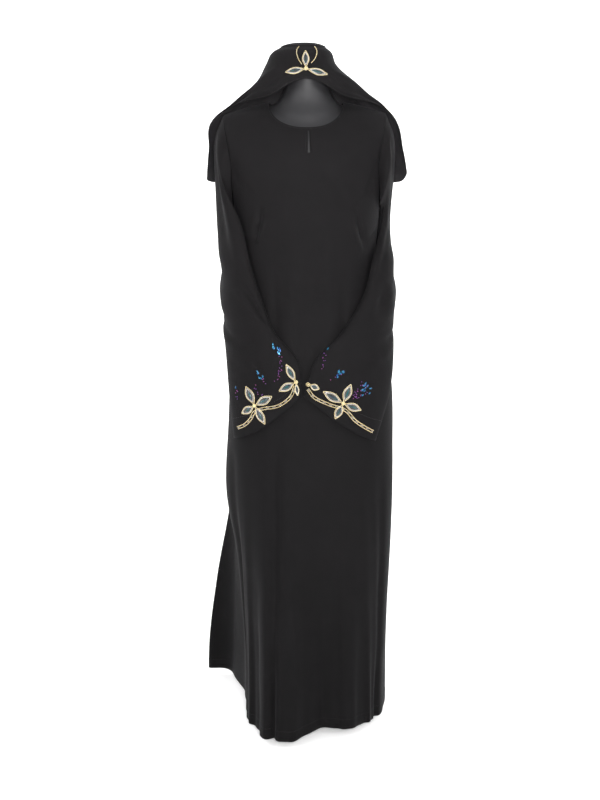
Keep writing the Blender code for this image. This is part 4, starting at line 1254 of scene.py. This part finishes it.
@dataclass
class Stitching:
    """A row of topstitches: small flattened spindles laid end to end on the cloth."""

    name: str
    pitch: float = 0.0042
    length: float = 0.0030
    half_width: float = 0.00032
    top: float = 0.00045
    sides: float = -0.0002
    bottom: float = -0.0004
    look: float = 0.001

    def build(self, lines: list[Pair], finish: Material) -> Object:
        """Builds the stitches along lines of points with their normals.

        Args:
            lines: the lines.
            finish: the thread's material.

        Returns:
            The stitches as one piece.
        """
        blocks, faces = [], []
        ring = np.array([(0.5, 0), (0.25, 1), (-0.25, 1), (-0.5, 0), (-0.25, -1), (0.25, -1)])
        corner, after = np.arange(6), np.roll(np.arange(6), -1)
        for line, normals in lines:
            gone = travelled(line)
            at = np.arange(self.pitch / 2, gone[-1], self.pitch)
            place, out = read_along(gone, line, at), unit(read_along(gone, normals, at))
            way = unit(read_along(gone, line, at + self.look) - read_along(gone, line, at - self.look))
            side = unit(np.cross(out, way))
            flat = place[:, None] + way[:, None] * ring[:, :1] * self.length
            flat = flat + side[:, None] * ring[:, 1:] * self.half_width
            ends = [(place + out * height)[:, None] for height in (self.top, self.bottom)]
            first = sum(len(block) for block in blocks)
            blocks.append(np.concatenate([flat + out[:, None] * self.sides, *ends], axis=1).reshape(-1, 3))
            number = first + np.arange(len(at))[:, None] * 8
            upper = np.stack([number + corner, number + after, number + 6 + 0 * after], axis=-1)
            lower = np.stack([number + after, number + corner, number + 7 + 0 * after], axis=-1)
            faces += np.concatenate([upper, lower]).reshape(-1, 3).tolist()
        obj = link_mesh(self.name, np.concatenate(blocks), faces, finish)
        return obj


@dataclass
class DressForm:
    """The torso with its neck, one smooth shell, on its pole and base."""

    around: int = 96
    lower_steps: int = 60
    upper_steps: int = 36
    ease: float = 0.0058
    ease_reach: float = 0.17
    clearance: float = 0.0020
    flare: float = 0.42
    flare_heights: tuple[float, float] = (1.452, 1.535)
    weld: float = 0.0004
    voxel: float = 0.0045
    fillet_rounds: int = 14

    def torso(self, finish: Material) -> Object:
        """The closed torso: rings up to the armhole's middle, then columns that meet on the shoulder line."""
        body = Body(FORM_RINGS)
        angle = np.arange(self.around) * 360 / self.around
        heights = np.linspace(FORM_RINGS[0].z, ARMHOLE_MIDDLE, self.lower_steps + 1)
        lower = body.point(angle[:, None], heights[None, :])
        side = np.abs(body.point(angle, ARMHOLE_MIDDLE)[:, None, 0]) / self.ease_reach
        lowered = self.clearance + self.ease * (1 - side**2)
        upper = body.shoulder_point(angle[:, None], 90 * shoulder_shares(self.upper_steps)[None, :], lowered)
        points = np.concatenate([lower, upper], axis=1)
        rows = points.shape[1]
        faces = grid_faces(self.around, rows, wraps=True).tolist()
        faces.append([i * rows for i in reversed(range(self.around))])
        return link_mesh("form_shell", points, faces, finish)

    def neck(self, finish: Material) -> Object:
        """The neck: its profile on a smooth curve, swung round a line just in front of the middle and
        widened sideways at its foot."""
        profile = through_rings(np.array(NECK_PROFILE), 6)
        angle = np.radians(np.arange(self.around) * 360 / self.around)
        radius, z = np.maximum(profile[1:-1, 0], 0.0006), profile[1:-1, 1]
        wide = 1 + self.flare * (1 - eased(z, *self.flare_heights))
        x = np.cos(angle)[:, None] * radius * wide
        y = np.sin(angle)[:, None] * radius - NECK_FORWARD
        points = np.stack([x, y, np.broadcast_to(z, x.shape)], axis=-1)
        rows = len(z)
        faces = grid_faces(self.around, rows, wraps=True).tolist()
        faces.append([i * rows for i in reversed(range(self.around))])
        faces.append([i * rows + rows - 1 for i in range(self.around)])
        return link_mesh("form_neck", points, faces, finish)

    def join(self, shell: Object, neck: Object) -> None:
        """Joins the neck to the shell with a soft fillet, and leaves the result as the shell's own mesh."""
        merge = shell.modifiers.new("seam", "WELD")
        merge.merge_threshold = self.weld
        union = shell.modifiers.new("join", "BOOLEAN")
        union.operation, union.object, union.solver = "UNION", neck, "EXACT"
        remesh = shell.modifiers.new("even", "REMESH")
        remesh.mode, remesh.voxel_size, remesh.use_smooth_shade = "VOXEL", self.voxel, True
        smooth = shell.modifiers.new("fillet", "SMOOTH")
        smooth.factor, smooth.iterations = 0.5, self.fillet_rounds
        graph = bpy.context.evaluated_depsgraph_get()
        mesh = bpy.data.meshes.new_from_object(shell.evaluated_get(graph))
        shell.modifiers.clear()
        shell.data = mesh
        bpy.data.objects.remove(neck, do_unlink=True)

    def build(self) -> None:
        """Builds the shell with its neck, and finishes the stand."""
        finish = FormShell().made()
        shell = self.torso(finish)
        self.join(shell, self.neck(finish))
        shell.data.materials.clear()
        shell.data.materials.append(finish)
        shell.data.shade_smooth()
        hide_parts("form_torso")
        LOG.info("form_shell: %d faces", len(shell.data.polygons))
        for node, metal in STAND_FINISHES.items():
            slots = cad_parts[node].data.materials
            made = metal.made()
            if slots:
                slots[0] = made
            else:
                slots.append(made)


class Petal(NamedTuple):
    """A petal by its root and tip as seen from the front, and its half-width."""

    root_x: float
    root_z: float
    tip_x: float
    tip_z: float
    half_width: float

    def ends(self) -> Pair:
        """The root and the tip as spots."""
        return np.array([self.root_x, self.root_z]), np.array([self.tip_x, self.tip_z])

    def frame(self) -> tuple[np.ndarray, np.ndarray, np.ndarray]:
        """Where the pad starts, free of the flower's heart, its way to the tip, and the unit way across."""
        root, tip = self.ends()
        way = (tip - root) / np.linalg.norm(tip - root)
        start = root + way * PETAL_START
        return start, tip - start, np.array([-way[1], way[0]])


RIGHT_PETALS = (
    Petal(-0.117, 0.821, -0.137, 0.863, 0.0115),
    Petal(-0.117, 0.821, -0.078, 0.845, 0.0115),
    Petal(-0.117, 0.821, -0.094, 0.779, 0.0105),
    Petal(-0.117, 0.821, -0.147, 0.798, 0.0100),
    Petal(-0.0255, 0.877, -0.047, 0.917, 0.0095),
    Petal(-0.0255, 0.877, -0.063, 0.857, 0.0105),
    Petal(-0.0255, 0.877, -0.0215, 0.846, 0.0055),
)
LEFT_PETALS = (
    Petal(0.080, 0.829, 0.035, 0.857, 0.0115),
    Petal(0.080, 0.829, 0.097, 0.872, 0.0115),
    Petal(0.080, 0.829, 0.121, 0.811, 0.0110),
    Petal(0.080, 0.829, 0.062, 0.794, 0.0105),
    Petal(0.003, 0.871, 0.027, 0.862, 0.0085),
)
VEIL_PETALS = (
    Petal(-0.003, 1.553, -0.004, 1.592, 0.0090),
    Petal(-0.003, 1.553, -0.048, 1.546, 0.0080),
    Petal(-0.003, 1.553, 0.044, 1.541, 0.0080),
)
RIGHT_STEM = (
    (-0.157, 0.762),
    (-0.139, 0.774),
    (-0.126, 0.790),
    (-0.118, 0.805),
    (-0.099, 0.815),
    (-0.065, 0.823),
    (-0.038, 0.843),
    (-0.027, 0.868),
)
LEFT_STEM = (
    (0.002, 0.860),
    (0.017, 0.842),
    (0.049, 0.827),
    (0.085, 0.813),
    (0.107, 0.788),
    (0.130, 0.770),
    (0.149, 0.757),
)
VEIL_OVAL = (
    ((-0.0126, 1.5632), (-0.0190, 1.573), (-0.0228, 1.585), (-0.0222, 1.595), (-0.0180, 1.6012)),
    ((0.0088, 1.5658), (0.0160, 1.574), (0.0200, 1.585), (0.0195, 1.595), (0.0155, 1.6012)),
)


@dataclass
class BeadPile:
    """Beads gathered for one piece: where each is, and how large."""

    places: list[np.ndarray] = field(default_factory=list)
    sizes: list[np.ndarray] = field(default_factory=list)

    def add(self, places: np.ndarray, size: float) -> None:
        """Adds beads of one size."""
        self.places.append(places.reshape(-1, 3))
        self.sizes.append(np.full(len(self.places[-1]), size))

    def build(self, name: str, finish: Material) -> Object:
        """Makes all beads one mesh: balls of two rings of six points and two poles.

        Args:
            name: the piece's name.
            finish: its material.

        Returns:
            The piece.
        """
        turn = np.radians(np.arange(6) * 60)
        rings = [(0.5 * math.sqrt(3), 0.5), (0.5 * math.sqrt(3), -0.5)]
        ball = [(r * math.cos(a), r * math.sin(a), h) for r, h in rings for a in turn]
        ball += [(0, 0, 1), (0, 0, -1)]
        after = [1, 2, 3, 4, 5, 0]
        sides = [[6 + i, 6 + after[i], after[i], i] for i in range(6)]
        caps = [[i, after[i], 12] for i in range(6)] + [[6 + after[i], 6 + i, 13] for i in range(6)]
        centres, sizes = np.concatenate(self.places), np.concatenate(self.sizes)
        points = centres[:, None] + np.array(ball)[None] * sizes[:, None, None]
        shift = (np.arange(len(centres)) * len(ball))[:, None, None]
        faces = (np.array(sides)[None] + shift).reshape(-1, 4).tolist()
        faces += (np.array(caps)[None] + shift).reshape(-1, 3).tolist()
        LOG.info("%s: %d beads", name, len(centres))
        return link_mesh(name, points, faces, finish)


class Stone(NamedTuple):
    """A cut stone: its middle, its long way, the way out of the cloth and its half sizes."""

    middle: np.ndarray
    way: np.ndarray
    out: np.ndarray
    half_length: float
    half_width: float


@dataclass
class StonePile:
    """Cut marquise stones gathered for one piece."""

    stones: list[Stone] = field(default_factory=list)
    corners: int = 10
    table: float = 0.52
    foot: float = 0.7
    height: float = 0.55
    most_height: float = 0.0024

    def add(self, spot: Pair, lift: float, way: np.ndarray, half_length: float, half_width: float) -> None:
        """Adds a stone.

        Args:
            spot: the cloth's point and normal there, one of each.
            lift: how far the stone's girdle is above the cloth.
            way: its long way, as seen from the front.
            half_length: half of its length.
            half_width: half of its width.
        """
        place, out = spot[0][0], spot[1][0]
        along = way - out * (way @ out)
        self.stones.append(Stone(place + out * lift, unit(along), unit(out), half_length, half_width))

    def build(self, name: str, finish: Material) -> Object:
        """Makes all stones one mesh, each a pointed girdle with a table over it and a flat underside.

        Args:
            name: the piece's name.
            finish: its material.

        Returns:
            The piece.
        """
        count = self.corners
        turn = np.radians(np.arange(count) * 360 / count)
        pointed = np.sign(np.sin(turn)) * np.abs(np.sin(turn)) ** 1.35
        points, faces = [], []
        for number, stone in enumerate(self.stones):
            side = np.cross(stone.out, stone.way)
            girdle = np.outer(np.cos(turn) * stone.half_length, stone.way)
            girdle = girdle + np.outer(pointed * stone.half_width, side)
            height = min(stone.half_width * self.height, self.most_height)
            points.append(stone.middle + girdle)
            points.append(stone.middle + girdle * self.table + stone.out * height)
            points.append(stone.middle + girdle * self.foot - stone.out * height * 0.5)
            base = number * 3 * count
            for i in range(count):
                after = (i + 1) % count
                faces.append([base + i, base + after, base + count + after, base + count + i])
                faces.append([base + 2 * count + i, base + 2 * count + after, base + after, base + i])
            faces.append([base + count + i for i in range(count)])
            faces.append([base + 2 * count + i for i in reversed(range(count))])
        obj = link_mesh(name, np.concatenate(points), faces, finish)
        obj.data.shade_flat()
        return obj


@dataclass
class Beadwork:
    """The applique of one cloth piece: padded petals edged with a row of gold and a row of silver beads round
    a cut stone, a stem of two gold rows with short runs of silver, and lines of single beads."""

    name: str
    node: str
    petals: tuple[Petal, ...]
    stem: tuple[Spot, ...] = ()
    lines: tuple[tuple[Spot, ...], ...] = ()
    bead: float = 0.00100
    inner_bead: float = 0.00076
    stem_bead: float = 0.00092
    line_bead: float = 0.0009
    bead_pitch: float = 2.05
    gold_edge: tuple[float, float] = (0.02, 0.0013)
    silver_edge: tuple[float, float] = (0.25, 0.0021)
    slim: float = 0.80
    pad_size: tuple[int, int] = (15, 9)
    pad_height: tuple[float, float] = (0.0010, 0.0012)
    pad_depth: float = 0.0004
    stone_at: float = 0.52
    stone_lift: float = 0.0024
    stone_shares: tuple[float, float] = (0.25, 0.26)
    heart_ring: tuple[float, float] = (0.0026, 0.0012)
    heart_middle: tuple[float, float] = (0.0030, 0.0022)
    stem_half_width: float = 2.9
    silver_step: int = 8
    silver_run: int = 4
    heart_radius: float = 0.0034

    def pad(self, petal: Petal, tree: BVHTree) -> tuple[np.ndarray, list]:
        """A petal's padded wall: its width is a power of a sine along it, and its middle is raised."""
        along = np.linspace(0, 1, self.pad_size[0])[:, None, None]
        side = np.linspace(-1, 1, self.pad_size[1])[None, :, None]
        start, length, across = petal.frame()
        half = self.slim * petal.half_width * (0.06 + 0.94 * np.sin(np.pi * along) ** 1.1)
        place, out = cast(tree, start + length * along + across * half * side)
        crown = (1 - side**2) * np.sin(np.pi * (0.08 + 0.84 * along))
        edge, middle = self.pad_height
        return closed_wall(place + out * (edge + middle * crown), place - out * self.pad_depth)

    def outline(self, petal: Petal, inset: float, pitch: float) -> np.ndarray:
        """Spots at even steps along the petal's edge, moved inwards by a share of its width."""
        t = np.concatenate([np.linspace(0.02, 0.98, 60), np.linspace(0.98, 0.02, 60)])
        sign = np.concatenate([np.ones(60), -np.ones(60)])
        start, length, across = petal.frame()
        half = self.slim * petal.half_width * (0.02 + 0.98 * np.sin(np.pi * t) ** 1.1)
        middle = start + length * 0.5
        line = start + np.outer(t, length) + np.outer(sign * half, across)
        line = middle + (line - middle) * (1 - inset)
        gone = travelled(line)
        count = max(int(gone[-1] / pitch), 8)
        return read_along(gone, line, np.arange(count) * gone[-1] / count)

    def build(self, cloth: Cloth, finishes: dict[str, Material]) -> None:
        """Builds the applique on its cloth.

        Args:
            cloth: the piece that carries it.
            finishes: the materials by name.
        """
        tree = tree_of(cloth.obj)
        points, faces = [], []
        gold, silver, stones = BeadPile(), BeadPile(), StonePile()
        rows = ((gold, *self.gold_edge, self.bead), (silver, *self.silver_edge, self.inner_bead))
        for petal in self.petals:
            pad_points, pad_faces = self.pad(petal, tree)
            shift = sum(len(block) for block in points)
            points.append(pad_points)
            faces += [[number + shift for number in face] for face in pad_faces]
            for pile, inset, lift, size in rows:
                place, out = cast(tree, self.outline(petal, inset, self.bead_pitch * size))
                pile.add(place + out * lift, size)
            self.stone(petal, tree, stones)
        for root in sorted({(petal.root_x, petal.root_z) for petal in self.petals}):
            self.heart(root, tree, gold)
        if self.stem:
            self.stem_rows(tree, gold, silver)
        for line in self.lines:
            path = through_rings(np.array(line), 12)
            gone = travelled(path)
            spots = read_along(gone, path, np.arange(0, gone[-1], 2.0 * self.line_bead))
            place, out = cast(tree, spots)
            gold.add(place + out * self.line_bead, self.line_bead)
        made = [link_mesh(self.name + "_pads", np.concatenate(points), faces, finishes["thread"])]
        made.append(gold.build(self.name + "_beads", finishes["gold"]))
        made.append(silver.build(self.name + "_silver", finishes["silver"]))
        made.append(stones.build(self.name + "_stones", finishes["stone"]))
        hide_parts(self.node)

    def stone(self, petal: Petal, tree: BVHTree, stones: StonePile) -> None:
        """The petal's stone, a little beyond its middle."""
        root, tip = petal.ends()
        spot = cast(tree, (root + self.stone_at * (tip - root))[None])
        way = np.array([petal.tip_x - petal.root_x, 0, petal.tip_z - petal.root_z])
        length = np.linalg.norm(way - spot[1][0] * (way @ spot[1][0]))
        long_share, wide_share = self.stone_shares
        stones.add(spot, self.stone_lift, way, length * long_share, petal.half_width * wide_share)

    def heart(self, root: Spot, tree: BVHTree, beads: BeadPile) -> None:
        """The round middle of a flower: a ring of beads round a larger one."""
        turn = np.radians(np.arange(9) * 40)
        ring = np.stack([self.heart_radius * np.cos(turn), self.heart_radius * np.sin(turn)], axis=-1)
        for spots, (lift, size) in ((root + ring, self.heart_ring), (np.array([root]), self.heart_middle)):
            place, out = cast(tree, spots)
            beads.add(place + out * lift, size)

    def stem_rows(self, tree: BVHTree, beads: BeadPile, silver: BeadPile) -> None:
        """The stem: two rows of beads along its curve, and between them short runs of smaller silver ones."""
        path = through_rings(np.array(self.stem), 10)
        gone = travelled(path)
        middle = read_along(gone, path, np.arange(0, gone[-1], 2.02 * self.stem_bead))
        way = unit(np.gradient(middle, axis=0))
        across = np.stack([-way[:, 1], way[:, 0]], axis=-1)
        for side in (-self.stem_half_width, self.stem_half_width):
            place, out = cast(tree, middle + across * side * self.stem_bead)
            beads.add(place + out * 0.0010, self.stem_bead)
        place, out = cast(tree, middle)
        run = np.arange(len(middle)) % self.silver_step < self.silver_run
        silver.add((place + out * 0.0009)[run], self.inner_bead)


class Spray(NamedTuple):
    """A spray of small stones and sequins: its path as seen from the front, and how many of each."""

    path: tuple[Spot, ...]
    heads: int
    trail: int


RIGHT_SPRAYS = (
    Spray(((-0.072, 0.960), (-0.063, 0.946), (-0.058, 0.922), (-0.064, 0.890)), 9, 18),
    Spray(((-0.107, 0.896), (-0.099, 0.885), (-0.094, 0.871)), 6, 6),
    Spray(((-0.161, 0.854), (-0.157, 0.832)), 1, 6),
    Spray(((-0.118, 0.868), (-0.108, 0.852), (-0.098, 0.846)), 0, 8),
    Spray(((-0.056, 0.908), (-0.062, 0.892), (-0.070, 0.878)), 0, 8),
)
LEFT_SPRAYS = (
    Spray(((0.045, 0.958), (0.038, 0.932), (0.034, 0.908)), 1, 11),
    Spray(((0.078, 0.904), (0.068, 0.893), (0.055, 0.884)), 8, 4),
    Spray(((0.137, 0.870), (0.124, 0.858), (0.108, 0.846)), 8, 10),
    Spray(((0.142, 0.856), (0.124, 0.846), (0.104, 0.838)), 4, 12),
    Spray(((0.124, 0.874), (0.112, 0.858), (0.100, 0.846)), 0, 9),
)


@dataclass
class Sprays:
    """The loose sprays on a cuff: teal and blue stones at their heads, violet sequins behind."""

    name: str
    rows: tuple[Spray, ...]
    seed: int = 11
    head_jitter: float = 0.0052
    trail_jitter: float = 0.0034
    head_size: tuple[float, float] = (0.0034, 0.0019)
    heads_to: float = 0.45
    trail_from: float = 0.3
    sequin: float = 0.0011

    def build(self, cloth: Cloth, finishes: dict[str, Material]) -> None:
        """Builds the sprays on their cloth.

        Args:
            cloth: the piece that carries them.
            finishes: the materials by name.
        """
        tree = tree_of(cloth.obj)
        random = np.random.default_rng(self.seed)
        stones, trail = StonePile(), BeadPile()
        for row in self.rows:
            path = through_rings(np.array(row.path), 8)
            share = np.linspace(0, 1, len(path))
            way = path[-1] - path[0]
            for k in range(row.heads):
                at = self.heads_to * k / max(row.heads - 1, 1)
                jitter = random.uniform(-self.head_jitter, self.head_jitter, 2)
                spot = cast(tree, read_along(share, path, np.array([at])) + jitter)
                lean = random.uniform(-0.5, 0.5)
                turned = np.array([way[0] + lean * way[1], 0, way[1] - lean * way[0]])
                stones.add(spot, 0.0010, turned, *self.head_size)
            at = np.linspace(self.trail_from if row.heads else 0.0, 1, row.trail)
            jitter = random.uniform(-self.trail_jitter, self.trail_jitter, (2, row.trail))
            place, out = cast(tree, read_along(share, path, at) + jitter.T)
            trail.add(place + out * 0.0005, self.sequin)
        made = [trail.build(self.name + "_trail", finishes["magenta"])]
        if stones.stones:
            made.append(stones.build(self.name + "_stones", finishes["teal"]))


class Light(NamedTuple):
    """A soft square light that looks at a point."""

    name: str
    place: Vector3
    target: Vector3
    size: float
    power: float


LIGHTS = (
    Light("key", (0.05, -2.85, 1.50), (0, 0, 1.22), 0.5, 90),
    Light("side_left", (1.7, -2.0, 2.1), (0, 0, 1.25), 1.0, 22),
    Light("side_right", (-1.6, -1.9, 2.2), (0, 0, 1.35), 1.0, 16),
    Light("top", (0.0, 0.2, 3.0), (0, 0, 1.2), 1.2, 16),
    Light("rim_left", (-2.3, 0.9, 1.9), (0, 0, 1.1), 1.2, 16),
    Light("rim_right", (2.3, 0.9, 1.9), (0, 0, 1.1), 1.2, 14),
)


@dataclass
class Studio:
    """A pale sweep of floor and backdrop, soft lights and the camera at the photograph's angle."""

    camera_place: Vector3 = (-0.016, -2.8, 1.40)
    pitch: float = 78.0
    lens: float = 54.8
    sides: int = 96
    floor_reach: float = 4.5
    bend: float = 1.5
    wall_top: float = 6.5
    daylight: float = 0.20

    def sweep(self) -> None:
        """A round floor whose profile curves up into a wall: a straight run, a quarter circle and a wall."""
        turn = np.radians(np.linspace(0, 90, 13))
        reach, bend = self.floor_reach, self.bend
        rise = [(reach + bend * math.sin(a), bend - bend * math.cos(a)) for a in turn]
        line = np.array([(0.01, 0.0), *rise, (reach + bend, self.wall_top)])
        angle = np.radians(np.arange(self.sides) * 360 / self.sides)[:, None]
        across, along = np.cos(angle) * line[:, 0], np.sin(angle) * line[:, 0]
        points = np.stack([across, along, np.broadcast_to(line[:, 1], across.shape)], axis=-1)
        faces = grid_faces(self.sides, len(line), wraps=True, flip=True).tolist()
        faces.append([i * len(line) for i in range(self.sides)])
        mesh = bpy.data.meshes.new("sweep")
        mesh.from_pydata(points.reshape(-1, 3).tolist(), [], faces)
        mesh.shade_smooth()
        mesh.materials.append(self.paper())
        obj = bpy.data.objects.new("sweep", mesh)
        bpy.context.scene.collection.objects.link(obj)

    def paper(self) -> Material:
        """The sweep's pale paper, which glows faintly, and more from the object to three metres behind it."""
        shader = Shader("pale paper")
        tone = shader.noise(3, 2.0)
        colour = shader.blend(tone, (0.90, 0.90, 0.90), (0.93, 0.93, 0.93))
        shader.set({"Base Color": colour, "Roughness": 0.9})
        along = shader.node("ShaderNodeSeparateXYZ", {}, {0: shader.place()}, 1)
        share = shader.node("ShaderNodeMath", {"operation": "MAXIMUM"}, {0: along * 0.333, 1: 0.0})
        share = shader.node("ShaderNodeMath", {"operation": "MINIMUM"}, {0: share, 1: 1.0})
        glow = shader.blend(share, (0.22, 0.22, 0.22), (1.0, 1.0, 1.0))
        shader.set({"Emission Color": glow, "Emission Strength": 0.75})
        return shader.material

    def light(self, light: Light) -> None:
        """Sets one light."""
        data = bpy.data.lights.new(light.name, "AREA")
        data.shape, data.size, data.energy = "SQUARE", light.size, light.power
        obj = bpy.data.objects.new(light.name, data)
        obj.location = light.place
        obj.rotation_euler = (Vector(light.target) - Vector(light.place)).to_track_quat("-Z", "Y").to_euler()
        bpy.context.scene.collection.objects.link(obj)

    def build(self) -> None:
        """Sets the floor, the world, the lights and the camera."""
        scene = bpy.context.scene
        self.sweep()
        world = bpy.data.worlds.new("studio")
        world.use_nodes = True
        background = world.node_tree.nodes["Background"]
        background.inputs["Color"].default_value = (1.0, 1.0, 1.0, 1)
        background.inputs["Strength"].default_value = self.daylight
        scene.world = world
        for light in LIGHTS:
            self.light(light)
        data = bpy.data.cameras.new("photo")
        data.lens, data.sensor_width, data.clip_end = self.lens, 36, 60
        camera = bpy.data.objects.new("photo", data)
        camera.location = self.camera_place
        camera.rotation_euler = (math.radians(self.pitch), 0, 0)
        scene.collection.objects.link(camera)
        scene.camera = camera
        scene.view_settings.view_transform = "Standard"


FRONT = Panel(
    name="kaftan_front_cloth",
    node="kaftan_front",
    flat=(0.58, 1.52),
    area=0.73,
    back=False,
    creases=FRONT_CREASES,
    half_columns=68,
    crease_gain=1.4,
    swell_seed=0.0,
)
BACK = Panel(
    name="kaftan_back_cloth",
    node="kaftan_back",
    flat=(1.02, 1.55),
    area=0.91,
    back=True,
    creases=BACK_CREASES,
    half_columns=76,
    crease_gain=1.9,
    swell_seed=4.0,
)
RIGHT = Sleeve(
    name="sleeve_right_cloth", node="sleeve_right", side=Side.RIGHT, bands=RIGHT_BANDS, creases=RIGHT_CREASES
)
LEFT = Sleeve(
    name="sleeve_left_cloth", node="sleeve_left", side=Side.LEFT, bands=LEFT_BANDS, creases=LEFT_CREASES
)
VEIL = Veil()
TRIMMINGS = (
    (RIGHT, Beadwork("beadwork_right", "cuff_beadwork_right", RIGHT_PETALS, RIGHT_STEM)),
    (LEFT, Beadwork("beadwork_left", "cuff_beadwork_left", LEFT_PETALS, LEFT_STEM)),
    (VEIL, Beadwork("beadwork_veil", "veil_beadwork", VEIL_PETALS, lines=VEIL_OVAL)),
    (RIGHT, Sprays("spray_right", RIGHT_SPRAYS)),
    (LEFT, Sprays("spray_left", LEFT_SPRAYS)),
)


def main() -> None:
    """Builds the pieces in order."""
    logging.basicConfig(level=logging.INFO, format="%(message)s")
    crepe, thread = Crepe().made(), Thread().made()
    finishes = {key: finish.made() for key, finish in BEAD_FINISHES.items()}
    Studio().build()
    DressForm().build()
    garments = (FRONT, BACK, RIGHT, LEFT, VEIL)
    cloths = {garment.name: garment.build(crepe) for garment in garments}
    for garment in garments:
        cloth = cloths[garment.name]
        stitches = Stitching(garment.name + "_stitches").build(garment.stitch_lines(cloth), thread)
        garment.declare(cloth, [stitches])
    for garment, trimming in TRIMMINGS:
        trimming.build(cloths[garment.name], finishes)
        LOG.info("%s on %s", trimming.name, garment.name)


if __name__ == "__main__":
    main()
